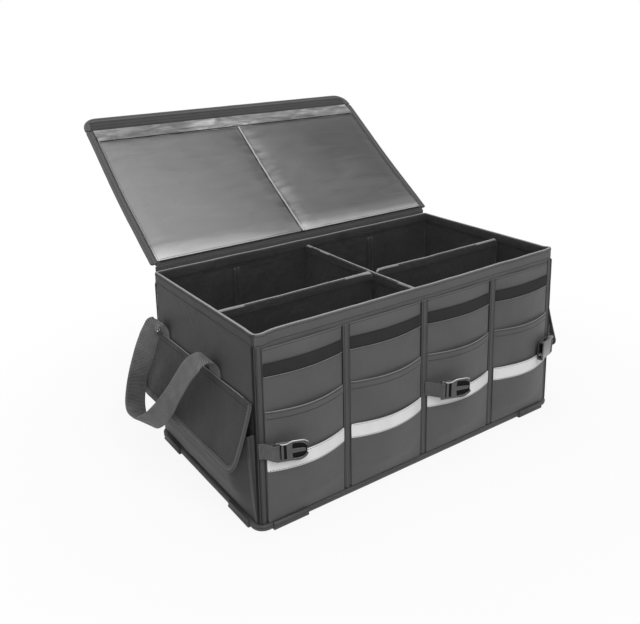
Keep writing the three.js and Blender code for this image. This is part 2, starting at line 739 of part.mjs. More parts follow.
function buckleStrap(buckle) {
  const frame = buckleFrame(buckle);
  const half = strapThickness / 2;
  const lift = seamGap + half;
  const barLow = buckle.kind === 'plug' ? 0 : (socketThickness - plugThickness) / 2;
  const over = barLow + plugThickness + lift;
  const under = barLow - lift;
  const inSlot = buckleBar + lift;
  const spread = spreadAt(strapHeight);
  const seam = (x, out) => new THREE.Vector3(x * spread, -(halfDepth + out + half) * spread, 0);
  const local = (u, v) => new THREE.Vector3(u, 0, v).applyMatrix4(frame).setZ(0);
  const points = [
    seam(buckle.seamX, buckle.seamOut + 0.1),
    seam(buckle.seamX + buckle.way * 7, buckle.seamOut + 3.5),
    local(-3, over - 0.6), local(1, over), local(inSlot - 1, over), local(inSlot, over - 1),
    local(inSlot, under + 1), local(inSlot - 1, under), local(1, under), local(-6, under),
  ];
  const up = new THREE.Vector3(0, 0, 1);
  const places = points.map((middle, i) => {
    const before = points[Math.max(i - 1, 0)];
    const after = points[Math.min(i + 1, points.length - 1)];
    const along = after.clone().sub(before).normalize();
    return { middle: middle.clone().setZ(strapHeight), along, across: up };
  });
  return ribbon(places, strapWidth, strapThickness);
}

for (const buckle of buckles) {
  const shape = buckle.kind === 'plug' ? plug() : socket();
  add(`buckle_${buckle.kind}_${buckle.name}`, shape.applyMatrix4(buckleFrame(buckle)), plastic);
  add(`buckle_strap_${buckle.name}`, buckleStrap(buckle), webbing);
}

// Hinge tape joins the lid to the back of the rim.
const hingeTape = block(
  -halfWidth + 2, halfWidth - 2,
  hingeY - fabricThickness / 2, hingeY + fabricThickness / 2,
  height - hingeTapeDrop, hingeZ + fabricThickness / 2,
);
add('lid_hinge_tape', leaned(hingeTape), charcoalDark);

// Lid, drawn closed with its hinge axis at its own origin, its outer face at z = 0 and its front towards -Y.
const lid = new THREE.Group();
lid.position.set(0, hingeY, hingeZ);
lid.rotation.x = -lidOpenAngle;
standing.add(lid);

const lidHalf = halfWidth + lidOverhang;
const lidInner = lidHalf - lidEdgeWidth;
const coverFace = -lidCoverRecess - lidCoverThickness;
const lidStart = fabricThickness + seamGap;

function lidCover() {
  const shape = outline([
    [-lidHalf, 0], [-lidHalf, -lidEdgeThickness], [-lidInner, -lidEdgeThickness], [-lidInner, coverFace],
    [lidInner, coverFace], [lidInner, -lidEdgeThickness], [lidHalf, -lidEdgeThickness], [lidHalf, 0],
    [lidInner, 0], [lidInner, -lidCoverRecess], [-lidInner, -lidCoverRecess], [-lidInner, 0],
  ]);
  const geometry = extruded(shape, foldDistance - lidStart - seamGap);
  return geometry.rotateX(Math.PI / 2).translate(0, -lidStart, 0);
}

function lidPanel(from, to) {
  const halfX = (to - from) / 2;
  const panel = extruded(roundedRectangle(halfX, lidPanelLength / 2, 4), lidPanelThickness, 0.8);
  const top = coverFace - seamGap;
  return panel.translate((from + to) / 2, -lidPanelStart - lidPanelLength / 2, top - lidPanelThickness);
}

function closingStrip() {
  const shape = new THREE.Shape();
  shape.moveTo(-lidHalf, 0);
  shape.lineTo(-lidHalf, -closingStripLength + lidCornerRadius);
  shape.absarc(-lidHalf + lidCornerRadius, -closingStripLength + lidCornerRadius, lidCornerRadius,
    Math.PI, Math.PI * 1.5, false);
  shape.lineTo(lidHalf - lidCornerRadius, -closingStripLength);
  shape.absarc(lidHalf - lidCornerRadius, -closingStripLength + lidCornerRadius, lidCornerRadius,
    Math.PI * 1.5, Math.PI * 2, false);
  shape.lineTo(lidHalf, 0);
  shape.closePath();
  const strip = extruded(shape, lidEdgeThickness).translate(0, 0, -lidEdgeThickness);
  const bare = closingStripLength - lidEdgeWidth;
  const recessed = cut(strip, [
    block(-lidInner, lidInner, -bare, 1, -lidEdgeThickness - 1, coverFace),
    block(-lidInner, lidInner, -bare, 1, -lidCoverRecess, 1),
  ]);
  return recessed.translate(0, -foldDistance, 0);
}

add('lid_cover', lidCover(), charcoal, lid);
const panelEdge = lidInner - seamGap;
add('lid_panel_left', lidPanel(-panelEdge, -lidPanelSplit / 2), liner, lid);
add('lid_panel_right', lidPanel(lidPanelSplit / 2, panelEdge), liner, lid);
add('lid_closing_strip', closingStrip(), charcoal, lid);
add('lid_loop_tape', block(
  -panelEdge, panelEdge,
  -foldDistance - closingStripLength + lidEdgeWidth + seamGap, -foldDistance - seamGap,
  coverFace - seamGap - loopTapeThickness, coverFace - seamGap,
), stripBlack, lid);

export default organizer;
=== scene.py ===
import math
from contextlib import contextmanager

import bmesh
import bpy
from mathutils import Matrix, Vector, noise

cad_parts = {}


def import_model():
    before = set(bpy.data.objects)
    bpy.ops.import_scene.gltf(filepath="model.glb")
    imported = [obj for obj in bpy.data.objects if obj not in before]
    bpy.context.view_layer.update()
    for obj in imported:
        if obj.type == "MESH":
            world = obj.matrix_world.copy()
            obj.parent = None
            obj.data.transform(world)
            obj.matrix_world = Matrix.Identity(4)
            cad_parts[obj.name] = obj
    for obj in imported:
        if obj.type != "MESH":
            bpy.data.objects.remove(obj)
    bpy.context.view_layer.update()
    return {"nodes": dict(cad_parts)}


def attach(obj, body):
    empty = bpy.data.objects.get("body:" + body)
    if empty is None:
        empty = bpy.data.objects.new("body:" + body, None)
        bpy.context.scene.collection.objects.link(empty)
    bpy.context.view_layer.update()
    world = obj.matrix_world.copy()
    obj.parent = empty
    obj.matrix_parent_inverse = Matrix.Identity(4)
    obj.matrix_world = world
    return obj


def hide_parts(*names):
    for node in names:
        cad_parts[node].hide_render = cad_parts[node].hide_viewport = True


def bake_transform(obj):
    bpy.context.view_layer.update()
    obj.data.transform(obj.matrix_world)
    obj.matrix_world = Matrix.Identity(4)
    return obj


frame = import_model()

MM = 0.001

# The model's sizes, in millimetres. Heights count from a datum that stands a little above the floor.
DATUM = Vector((0, 0, 9))
WIDTH, DEPTH, HEIGHT = 600.0, 325.0, 300.0
HALF_W, HALF_D = WIDTH / 2, DEPTH / 2
BASE_SPREAD = 0.04  # how much wider the box is at its base
FOOT, WALL_FOOT = 3.0, 1.3  # lower edges of the pockets and of the walls
COLUMNS = [(-287.7, -156.3), (-143.7, -6.3), (6.3, 143.7), (156.3, 287.7)]
COVER_TOP, UPPER_TOP, LOWER_TOP = 276.0, 183.0, 114.0
HOOK_LOW, HOOK_HIGH = 235, 255
SIDE_FRONT, SIDE_BACK = -158.5, 158.5
FLAP_TOP, FLAP_DROP, FLAP_LENGTH, FLAP_RADIUS = 195, 100, 106, 22.0
LID_ANGLE = math.radians(145.2)
HINGE_Y, HINGE_Z = 164.2, 307.3
# Along the lid from its hinge: the lining's ends and the strip's fold, and then the strip's own depth.
LINER_START, LINER_END, FOLD, STRIP = 7, 298, 330.5, 33.0
LID_HALF = 304.0
LID_SKEW = 7.0  # how far the lid's free edge hangs to the right
X, Y, Z = Vector((1, 0, 0)), Vector((0, 1, 0)), Vector((0, 0, 1))


def spread(z):
    return 1 + BASE_SPREAD * (1 - z / HEIGHT)


def lean(x, y, z):
    return Vector((x * spread(z), y * spread(z), z))


def steps(a, b, n):
    return [a + (b - a) * i / n for i in range(n + 1)]


def clamp(t, low=0.0, high=1.0):
    return max(low, min(high, t))


def smooth(t):
    t = clamp(t)
    return t * t * (3 - 2 * t)


def curve(knots):
    """A smooth line through (place, value) knots, with no overshoot."""
    def at(z):
        if z <= knots[0][0]:
            return knots[0][1]
        for (z0, a), (z1, b) in zip(knots, knots[1:]):
            if z <= z1:
                share = (z - z0) / (z1 - z0)
                return a + (b - a) * (share + smooth(share)) / 2
        return knots[-1][1]
    return at


def ripple(a, b, size, seed=0.0):
    return noise.noise(Vector((a / size, b / size, seed)))


# Materials. Their lengths are in metres; FINE and COARSE are the pitches of the weaves.
FINE, COARSE = 0.0011, 0.0016


def feed(tree, socket, value):
    """Links a socket to another one, or sets its value."""
    if isinstance(value, bpy.types.NodeSocket):
        tree.links.new(value, socket)
    else:
        socket.default_value = value


def fill(tree, node, inputs):
    for name, value in inputs.items():
        feed(tree, node.inputs[name.replace("_", " ")], value)
    return node


def add(tree, kind, **inputs):
    return fill(tree, tree.nodes.new("ShaderNode" + kind), inputs)


def calculate(tree, operation, *values):
    made = add(tree, "Math")
    made.operation = operation
    for socket, value in zip(made.inputs, values):
        feed(tree, socket, value)
    return made.outputs[0]


class Shader:
    """A node material around one Principled shader."""

    def __init__(self, name, roughness, **inputs):
        self.material = bpy.data.materials.new(name)
        self.material.use_nodes = True
        self.tree = self.material.node_tree
        self.main = fill(self.tree, self.tree.nodes["Principled BSDF"], {"Roughness": roughness, **inputs})
        self.normal = None

    def math(self, operation, *values):
        return calculate(self.tree, operation, *values)

    def weighted(self, *parts):
        """The sum of values, each times its share."""
        total = None
        for value, share in parts:
            part = self.math("MULTIPLY", value, share)
            total = part if total is None else self.math("ADD", total, part)
        return total

    def place(self, kind):
        return add(self.tree, "TexCoord").outputs[kind]

    def noise(self, where, scale, detail=3.0, roughness=0.5, stretch=(1, 1, 1), warp=0.0):
        mapped = add(self.tree, "Mapping", Vector=where, Scale=stretch).outputs[0]
        return add(self.tree, "TexNoise", Vector=mapped, Scale=scale, Detail=detail, Roughness=roughness,
                   Distortion=warp).outputs["Fac"]

    def sine(self, value, pitch):
        return self.math("SINE", self.math("MULTIPLY", value, 2 * math.pi / pitch))

    def split(self, where):
        parts = add(self.tree, "SeparateXYZ", Vector=where)
        return parts.outputs[0], parts.outputs[1]

    def weave(self, where, pitch):
        across, along = self.split(where)
        return self.math("MULTIPLY", self.sine(across, pitch), self.sine(along, pitch))

    def colour(self, factor, low, high, between=None):
        ramp = add(self.tree, "ValToRGB", Fac=factor)
        ramp.color_ramp.elements[0].color = (*low, 1)
        ramp.color_ramp.elements[1].color = (*high, 1)
        if between:
            ramp.color_ramp.elements.new(between[0]).color = (*between[1], 1)
        fill(self.tree, self.main, {"Base Color": ramp.outputs[0]})

    def bump(self, height, distance, strength=1.0):
        made = add(self.tree, "Bump", Distance=distance, Strength=strength, Height=height)
        if self.normal is not None:
            fill(self.tree, made, {"Normal": self.normal})
        self.normal = made.outputs[0]
        fill(self.tree, self.main, {"Normal": self.normal})

    def rough(self, factor, low, high):
        scaled = add(self.tree, "MapRange", Value=factor, To_Min=low, To_Max=high)
        fill(self.tree, self.main, {"Roughness": scaled.outputs[0]})


def grey(value):
    return (value, value, value * 1.02)


def cloth_material(name, low, high, pitch, roughness, crumple, flat=True, depth=0.00012, gloss=0.4):
    shader = Shader(name, roughness, Sheen_Weight=gloss * 0.3, Sheen_Roughness=0.5, Specular_IOR_Level=gloss)
    where = shader.place("UV" if flat else "Object")
    weave = shader.weave(where, pitch)
    patches = shader.noise(where, 14, 4)
    fine = shader.noise(where, 900, 2)
    mixed = shader.weighted((weave, 0.22), (patches, 0.75), (shader.math("SUBTRACT", fine, 0.5), 0.5))
    shader.colour(shader.math("ADD", mixed, 0.12), grey(low), grey(high))
    shader.rough(patches, roughness - 0.06, roughness + 0.08)
    shader.bump(shader.noise(where, 22, 3, 0.45, (1, 1, 1), 0.4), crumple)
    shader.bump(shader.noise(where, 90, 3), crumple * 0.16)
    shader.bump(weave, depth, 0.7)
    return shader.material


def webbing_material(name, low, high):
    shader = Shader(name, 0.62, Sheen_Weight=0.2, Specular_IOR_Level=0.4)
    where = shader.place("UV")
    along, across = shader.split(where)
    both = shader.weighted((shader.sine(along, 0.0024), 0.5), (shader.sine(across, 0.0031), 0.22))
    patches = shader.noise(where, 60, 3)
    shader.colour(shader.math("ADD", both, patches), grey(low), grey(high))
    shader.bump(both, 0.0004, 0.8)
    return shader.material


def rough_material(name, low, high, roughness, grain, depth):
    shader = Shader(name, roughness, Specular_IOR_Level=0.25)
    where = shader.place("Object")
    specks = shader.noise(where, grain, 4, 0.7)
    patches = shader.noise(where, 40, 3)
    shader.colour(shader.weighted((specks, 0.7), (patches, 0.3)), grey(low), grey(high))
    shader.bump(specks, depth)
    return shader.material


def liner_material(name, low, high, base=0.5, across=0.0, up=0.0, start=0.0, hinge=0.0, streaks=0.5,
                   pucker=0.0, fine=26):
    """Satin lining with painted light: painted gradients run across the panel and up from the hinge, a
    painted highlight brightens the hinge edge, and painted sheen streaks follow the folds and puckers.
    """
    shader = Shader(name, 0.34, Specular_IOR_Level=0.6)
    where = shader.place("UV")
    x, y = shader.split(where)

    def fading(value, rate):
        return shader.math("MAXIMUM", shader.math("SUBTRACT", 1.0, shader.math("MULTIPLY", value, rate)), 0.0)

    patches = shader.noise(where, 6, 2, 0.4, (1, 1, 1), 0.6)
    folds = shader.noise(where, fine, 3, 0.5, (0.35, 1.3, 1), 0.8)
    loose = shader.weighted((patches, 0.5), (folds, 0.5))
    # The tone adds painted light: a painted highlight gradient across and up the panel, and painted sheen
    # streaks from the loose folds.
    parts = [(shader.math("SUBTRACT", x, start), across), (y, up),
             (shader.math("SUBTRACT", loose, 0.5), streaks)]
    if hinge:
        # A painted highlight along the hinge edge.
        parts.append((fading(y, 24.0), hinge))
    if pucker:
        # Painted highlight streaks where the lining puckers near the middle seam.
        pulls = shader.noise(where, 46, 2, 0.5, (0.4, 1.6, 1), 0.5)
        sharp = shader.math("MULTIPLY", shader.math("SUBTRACT", pulls, 0.48), pucker)
        parts.append((fading(shader.math("ABSOLUTE", x), 22.0), sharp))
    tone = shader.math("ADD", shader.weighted(*parts), base)
    shader.colour(shader.math("MULTIPLY", tone, 0.55), grey(low), grey(0.46), (0.55, grey(high)))
    shader.rough(patches, 0.26, 0.4)
    shader.bump(patches, 0.003)
    shader.bump(folds, 0.0012)
    shader.bump(shader.weave(where, FINE), 0.00006, 0.6)
    return shader.material


def reflective_material(name):
    shader = Shader(name, 0.42, Specular_IOR_Level=0.5)
    where = shader.place("Object")
    shader.colour(shader.noise(where, 26, 4), (0.62, 0.62, 0.63), (0.84, 0.84, 0.84))
    shader.bump(shader.noise(where, 60, 3), 0.0006)
    shader.bump(shader.noise(where, 1500, 2), 0.00006)
    return shader.material


def plastic_material(name, low, high, gloss):
    shader = Shader(name, 0.14, Coat_Weight=gloss * 0.4, Coat_Roughness=0.08, Specular_IOR_Level=gloss)
    where = shader.place("Object")
    patches = shader.noise(where, 120, 3)
    shader.colour(patches, grey(low), grey(high))
    shader.rough(patches, 0.1, 0.2)
    shader.bump(shader.noise(where, 2500, 2), 0.00003)
    return shader.material


CLOTH = cloth_material("charcoal_weave", 0.052, 0.1, FINE, 0.6, 0.0022)
# The next two are darker copies of the charcoal weave, painted shade for the shaded side walls, side pockets,
# lid and flaps.
SHADED_CLOTH = cloth_material("side_weave_painted_shade", 0.028, 0.056, FINE, 0.56, 0.0022, gloss=0.2)
SHADED_FLAP_CLOTH = cloth_material("flap_weave_painted_shade", 0.015, 0.036, FINE, 0.5, 0.003, gloss=0.2)
# The inner lining, also used as painted shade on the side pockets' gussets.
LINING_AND_SHADE = cloth_material("inner_lining_and_painted_shade", 0.016, 0.036, FINE, 0.36, 0.0036)
BOARD = cloth_material("board_weave", 0.02, 0.04, 0.0013, 0.7, 0.0008, flat=False)
TAPE = cloth_material("binding_tape", 0.035, 0.07, COARSE, 0.6, 0.0006, depth=0.0002)
# A light cloth that paints thin highlights along rims, hems and seams.
PAINTED_HIGHLIGHT = cloth_material("edge_painted_highlight", 0.16, 0.26, COARSE, 0.4, 0.0002, depth=0.0001)
WEBBING = webbing_material("ribbed_webbing", 0.02, 0.125)
HOOK = rough_material("hook_tape", 0.008, 0.04, 0.9, 1400, 0.0005)
LOOP = rough_material("loop_tape", 0.02, 0.07, 0.9, 1100, 0.0005)
# Dark thread for the stitches, also used for the strips of painted shade beside seams, corners and the lid's
# welt and ends.
THREAD_AND_SHADE = rough_material("thread_and_painted_shade", 0.004, 0.012, 0.8, 3000, 0.0001)
GRIP = rough_material("grip_rubber", 0.045, 0.08, 0.45, 900, 0.0002)
# The lid's linings take painted highlights and painted sheen streaks; the welt's light tone is a painted
# highlight too.
LINER_LEFT = liner_material("lid_lining_left", 0.012, 0.12, 1.02, -1.95, -1.5, -0.29, 0.9, 0.8, 1.3)
LINER_RIGHT = liner_material("lid_lining_right", 0.012, 0.12, 0.62, -1.3, -1.2, 0.0, 1.4, 0.9, 3.2)
FOLDS = liner_material("lid_lining_folds", 0.016, 0.16, 0.72, 0.6, streaks=5.5, pucker=4.5, fine=64)
WELT = liner_material("lid_lining_welt", 0.2, 0.4, 1.0, streaks=1.6)
SHINE = reflective_material("reflective_tape")
PLASTIC = plastic_material("black_plastic", 0.03, 0.055, 0.6)
# A near-black plastic that paints the shade inside the plugs' slots.
SHADE_PLASTIC = plastic_material("plastic_painted_shade", 0.001, 0.002, 0.1)
# A light plastic that paints a highlight along the plugs' upper edges.
HIGHLIGHT_PLASTIC = plastic_material("plastic_painted_highlight", 0.42, 0.58, 0.8)


# Mesh helpers. FABRIC is the slot name passed with the outer cloth.
FABRIC = "charcoal_fabric"


def keep(obj, material, body, slot, *nodes):
    obj.data.materials.clear()
    obj.data.materials.append(material)
    bpy.context.scene.collection.objects.link(obj)
    if body:
        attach(obj, body)
    if nodes:
        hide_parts(*nodes)
    return obj


@contextmanager
def editing(source, target=None):
    """A mesh opened for editing and written back, or to a target, at the end."""
    edit = bmesh.new()
    edit.from_mesh(source)
    yield edit
    edit.to_mesh(target or source)
    edit.free()


def subdivide(obj, levels):
    """Rounds a mesh off; it stays as it is at 0 levels."""
    if levels:
        modifier = obj.modifiers.new("rounded", "SUBSURF")
        modifier.levels = modifier.render_levels = levels


def grid(name, rows, us, vs, material, body, slot, nodes=(), round_u=False, round_v=False,
         thick=0.0, levels=1):
    """A mesh over rows of points; us and vs are the cloth's own lengths, which set the weave."""
    n, m = len(rows), len(rows[0])
    mesh = bpy.data.meshes.new(name)
    faces, uvs = [], []
    for i in range(n if round_u else n - 1):
        for j in range(m if round_v else m - 1):
            a, b = (i + 1) % n, (j + 1) % m
            faces.append((i * m + j, a * m + j, a * m + b, i * m + b))
            uvs += [(us[i], vs[j]), (us[i + 1], vs[j]), (us[i + 1], vs[j + 1]), (us[i], vs[j + 1])]
    mesh.from_pydata([(p + DATUM) * MM for row in rows for p in row], [], faces)
    layer = mesh.uv_layers.new(name="UVMap")
    for spot, (u, v) in zip(layer.data, uvs):
        spot.uv = (u * MM, v * MM)
    mesh.shade_smooth()
    obj = bpy.data.objects.new(name, mesh)
    if thick:
        shell = obj.modifiers.new("thickness", "SOLIDIFY")
        shell.thickness = thick * MM
        shell.offset = 0
    subdivide(obj, levels)
    return keep(obj, material, body, slot, *nodes)


def cloth(name, us, vs, point, material, body, slot, nodes=(), thick=1.2):
    grid(name, [[point(u, v) for v in vs] for u in us], us, vs, material, body, slot, nodes, thick=thick)


def lengths(points, closed=False):
    total = [0.0]
    loop = points + points[:1] if closed else points
    for a, b in zip(loop, loop[1:]):
        total.append(total[-1] + (b - a).length)
    return total


def round_lengths(pairs):
    """Lengths round a closed outline in a plane."""
    return lengths([Vector((pair[0], pair[1], 0)) for pair in pairs], True)


def cap_ends(edit, rows, width, turned=False):
    """Closes the two ends of a swept section."""
    edit.verts.ensure_lookup_table()
    for first, back in ((0, turned), ((rows - 1) * width, not turned)):
        order = reversed(range(width)) if back else range(width)
        edit.faces.new([edit.verts[first + j] for j in order])


def band(name, places, section, material, body="box", slot="dark_tape", nodes=()):
    """A closed section swept along places, each (middle, across, outwards)."""
    rows = [[middle + across * a + outward * b for a, b in section] for middle, across, outward in places]
    obj = grid(name, rows, lengths([p[0] for p in places]), round_lengths(section), material, body, slot,
               nodes, round_v=True, levels=0)
    with editing(obj.data) as edit:
        cap_ends(edit, len(places), len(section))
    obj.data.shade_smooth()
    subdivide(obj, 1)
    return obj


def flat_section(width, thick, rounding=0.35):
    w, t = width / 2, thick / 2
    r = min(t, w) * rounding
    return [(-w + r, -t), (0, -t), (w - r, -t), (w, -t + r), (w, t - r), (w - r, t), (0, t), (-w + r, t),
            (-w, t - r), (-w, -t + r)]


def refined(name, node, material, slot, bevel, segments=2):
    """A finer copy of one of the box's rigid nodes, with its edges broken."""
    mesh = bpy.data.meshes.new(name)
    with editing(frame["nodes"][node].data, mesh) as edit:
        bmesh.ops.remove_doubles(edit, verts=edit.verts, dist=1e-5)
        bmesh.ops.dissolve_limit(edit, angle_limit=math.radians(2), verts=edit.verts, edges=edit.edges)
    mesh.shade_smooth()
    obj = bpy.data.objects.new(name, mesh)
    edge = obj.modifiers.new("edges", "BEVEL")
    edge.width = bevel * MM
    edge.segments = segments
    edge.limit_method = "ANGLE"
    edge.angle_limit = math.radians(35)
    edge.harden_normals = True
    return keep(obj, material, "box", slot, node)


# Stitches are gathered for each body and made as one mesh at the end.
threads = {}


def stitch(points, body="box", pitch=4.4, length=3.0, radius=0.42):
    """Short stitches along a path; they lie half in the cloth."""
    verts, faces = threads.setdefault(body, ([], []))
    total = lengths(points)
    count = int(total[-1] / pitch)
    segment = 0
    for i in range(count):
        place = (i + 0.5) * pitch
        while segment < len(points) - 2 and total[segment + 1] < place:
            segment += 1
        a, b = points[segment], points[segment + 1]
        if (b - a).length < 1e-6:
            continue
        along = (b - a).normalized()
        middle = a + along * (place - total[segment])
        side = along.cross(Vector((0.31, 0.52, 0.79))).normalized()
        up = along.cross(side)
        first = len(verts)
        verts.append(middle - along * length / 2)
        for shift in (-0.25, 0.25):
            for k in range(5):
                turn = 2 * math.pi * k / 5
                round_off = (side * math.cos(turn) + up * math.sin(turn)) * radius
                verts.append(middle + along * length * shift + round_off)
        verts.append(middle + along * length / 2)
        for k in range(5):
            n = (k + 1) % 5
            faces.append((first, first + 1 + n, first + 1 + k))
            faces.append((first + 1 + k, first + 1 + n, first + 6 + n, first + 6 + k))
            faces.append((first + 6 + k, first + 6 + n, first + 11))


def surface_line(point, start, end, lift, n=60):
    """Points on a surface between two of its own places, lifted along its normal."""
    out = []
    for t in steps(0, 1, n):
        u = start[0] + (end[0] - start[0]) * t
        v = start[1] + (end[1] - start[1]) * t
        here = point(u, v)
        normal = (point(u + 0.5, v) - here).cross(point(u, v + 0.5) - here)
        out.append(here + normal.normalized() * lift if normal.length > 1e-9 else here)
    return out


# Walls: one fabric ring with a folded hem round the rim.
def ring_path(half_x, half_y, radius, step):
    """Stations round a rounded rectangle: (x, y, outwards x, outwards y), from the front left corner."""
    places = []
    corners = [(half_x - radius, -half_y + radius, -90), (half_x - radius, half_y - radius, 0),
               (-half_x + radius, half_y - radius, 90), (-half_x + radius, -half_y + radius, 180)]
    for k, (cx, cy, start) in enumerate(corners):
        turns = [math.radians(start + a) for a in steps(0, 90, 6)]
        places += [(cx + radius * math.cos(t), cy + radius * math.sin(t), math.cos(t), math.sin(t))
                   for t in turns]
        nx, ny, _ = corners[(k + 1) % 4]
        t = math.radians(start + 90)
        x0, y0 = cx + radius * math.cos(t), cy + radius * math.sin(t)
        x1, y1 = nx + radius * math.cos(t), ny + radius * math.sin(t)
        count = max(2, round(math.hypot(x1 - x0, y1 - y0) / step))
        places += [(x0 + (x1 - x0) * i / count, y0 + (y1 - y0) * i / count, math.cos(t), math.sin(t))
                   for i in range(1, count)]
    return places


def rim_drop(x, y):
    """How far the rim sags between its seams, and its small waves."""
    sag = 0.0
    if y < -HALF_D + 20:
        sag = 1.6 * math.sin(math.pi * clamp((x + HALF_W) / WIDTH)) + 0.7 * ripple(x, 0, 38, 3)
        sag += 3.2 * math.exp(-((x + 286) / 11) ** 2)
    if x > HALF_W - 12 and y < -HALF_D + 9:
        sag -= 2.0 * smooth((x - HALF_W + 12) / 11)
    return sag + 0.5 * ripple(x, y, 60, 9)


def wall_section():
    """Pairs of (out from the wall, z): up the outside, round the hem and down the inside."""
    outer = [(0.0, z) for z in (WALL_FOOT, 10, 40, 80, 120, 160, 200, 240, 270, 280)]
    hem = [(0.75, 281), (0.95, 286), (0.9, 293), (0.8, 298), (0.1, 299.7), (-2, 300.1), (-4.1, 299.7),
           (-4.8, 298), (-4.95, 290), (-4.8, 281.5), (-4.0, 280.5)]
    inner = [(-4.0, z) for z in (270, 240, 200, 160, 120, 80, 40, 10, WALL_FOOT)]
    return outer + hem + inner


def walls():
    path = ring_path(HALF_W, HALF_D, 6.0, 9.0)
    section = wall_section()
    rows = []
    for x, y, nx, ny in path:
        row = []
        for out, z in section:
            give = -0.45 * (0.5 + ripple(x + y, z, 70, 5)) * smooth((z - 10) / 40) * smooth((300 - z) / 40)
            drop = rim_drop(x, y) * smooth((z - 230) / 60)
            row.append(lean(x + nx * (out + give), y + ny * (out + give), z - drop))
        rows.append(row)
    obj = grid("box_walls", rows, round_lengths(path), round_lengths(section), SHADED_CLOTH, "box", FABRIC,
               ["wall_front", "wall_back", "wall_left", "wall_right"], True, True, levels=1)
    for extra in (LINING_AND_SHADE, CLOTH, PAINTED_HIGHLIGHT):
        obj.data.materials.append(extra)
    width = len(section)
    top = [j for j, (_, z) in enumerate(section) if z > 299]
    inside = top[-1] + 1
    # Face materials: the rim's top gets a painted highlight and the inside the lining; the front keeps the
    # charcoal weave, while the side and back walls keep its darker copy with painted shade.
    for face in obj.data.polygons:
        j = min(v % width for v in face.vertices)
        if j in top[:-1]:
            face.material_index = 3
        elif j >= inside:
            face.material_index = 1
        elif face.center.y < -HALF_D * MM and abs(face.center.x) < (HALF_W - 1) * MM:
            face.material_index = 2
    for out, z in ((1.0, 283.5), (1.05, 296.5), (-5.05, 284.0)):
        line = [lean(x + nx * out, y + ny * out, z - rim_drop(x, y) * smooth((z - 230) / 60))
                for x, y, nx, ny in path]
        stitch(line + line[:1])


walls()
for side, label in ((-1, "left"), (1, "right")):
    for way, part in ((-1, "a"), (1, "b")):
        places = [(lean(side * 150 + way * 3.6 + 0.6 * ripple(z, side * 9 + way, 30), HALF_D - 5.6, z), X, -Y)
                  for z in steps(8, 277, 40)]
        band(f"inner_tape_{label}_{part}", places, flat_section(6.8, 2.4, 0.7), LINING_AND_SHADE)


def divider(name, node, start, end, top, open_end=False):
    """A panel from start to end (plan points) with a wide hem folded over its top."""
    a, b = Vector((*start, 0)), Vector((*end, 0))
    run = (b - a).normalized()
    across = Vector((-run.y, run.x, 0))
    length = (b - a).length
    stations = steps(0, length, int(length / 7))
    up = [(2.0, z) for z in (WALL_FOOT, 20, 60, 110, 160, 210, 250, top - 18)]
    hem = [(2.7, top - 17), (2.9, top - 9), (2.6, top - 2), (1.6, top - 0.3)]
    section = up + hem + [(0, top + 0.1)] + [(-out, z) for out, z in reversed(up + hem)]
    rows = []
    for s in stations:
        middle = a + run * s
        inside = smooth(s / 30) * smooth((length - s) / 30)
        bulge = 0.9 * ripple(s, 0, 45, 7) + 0.9 * math.sin(math.pi * s / length)
        row = []
        for out, z in section:
            bow = 1.1 * ripple(s, z * 0.5, 90, len(name)) * inside
            flare = 1.0
            if open_end and abs(out) > 2.5 and z > top - 20:
                flare += 1.6 * smooth((s - length + 26) / 24)
            point = middle + across * (out * flare + bow)
            row.append(lean(point.x, point.y, z - bulge * smooth((z - 120) / 150) * inside))
        rows.append(row)
    obj = grid(name, rows, stations, round_lengths(section), LINING_AND_SHADE, "box", "dark_tape", [node], False, True)
    obj.data.materials.append(PAINTED_HIGHLIGHT)
    high = (top - 1.6 + DATUM.z) * MM
    with editing(obj.data) as edit:
        cap_ends(edit, len(rows), len(section), turned=True)
        bmesh.ops.recalc_face_normals(edit, faces=edit.faces)
        # The hem's upward faces get a painted highlight.
        for face in edit.faces:
            if len(face.verts) == 4 and face.calc_center_median().z > high and abs(face.normal.z) > 0.5:
                face.material_index = 1
    hem_rows = {side: [j for j, (out, _) in enumerate(section) if out * side > 2.1] for side in (-1, 1)}
    for side in (-1, 1):
        for z in (top - 14.5, top - 4.0):
            j = min(hem_rows[side], key=lambda k: abs(section[k][1] - z))
            lift = across * (0.15 * side) + Vector((0, 0, z - section[j][1]))
            stitch([row[j] + lift for row in rows])


divider("divider_long", "divider_middle", (0, -161.2), (0, 161.2), 290)
divider("divider_cross_left", "divider_left", (-294.9, -41), (-3.1, -41), 292, open_end=True)
divider("divider_cross_right", "divider_right", (3.1, -41), (294.9, -41), 292)


# Front cover and pockets.
cover_bulge = curve([(FOOT, 0), (83, 3), (150, 8.5), (183, 11), (225, 9.5), (245, 8.4), (262, 5),
                     (COVER_TOP, 1)])
upper_bulge = curve([(FOOT, 0), (33, 5), (58, 8.5), (83, 11), (108, 12.8), (150, 15), (UPPER_TOP, 15)])
lower_bulge = curve([(FOOT, 0), (20, 6), (33, 11), (58, 13.2), (88, 14.8), (LOWER_TOP, 14.5)])


def column(x):
    return next(((a, b) for a, b in COLUMNS if a <= x <= b), None)


def pillow(x):
    if not column(x):
        return 0.0
    a, b = column(x)
    return math.sin(math.pi * (x - a) / (b - a)) ** 0.9


def crease(x, z):
    """Small pulls that start at the seams."""
    if not column(x):
        return 0.0
    a, b = column(x)
    t = (x - a) / (b - a)
    edge = math.exp(-((min(t, 1 - t) * (b - a) - 9) / 16) ** 2)
    return 0.7 * ripple(x * 0.35, z, 16, a) * edge + 0.6 * ripple(x, z, 55, b)


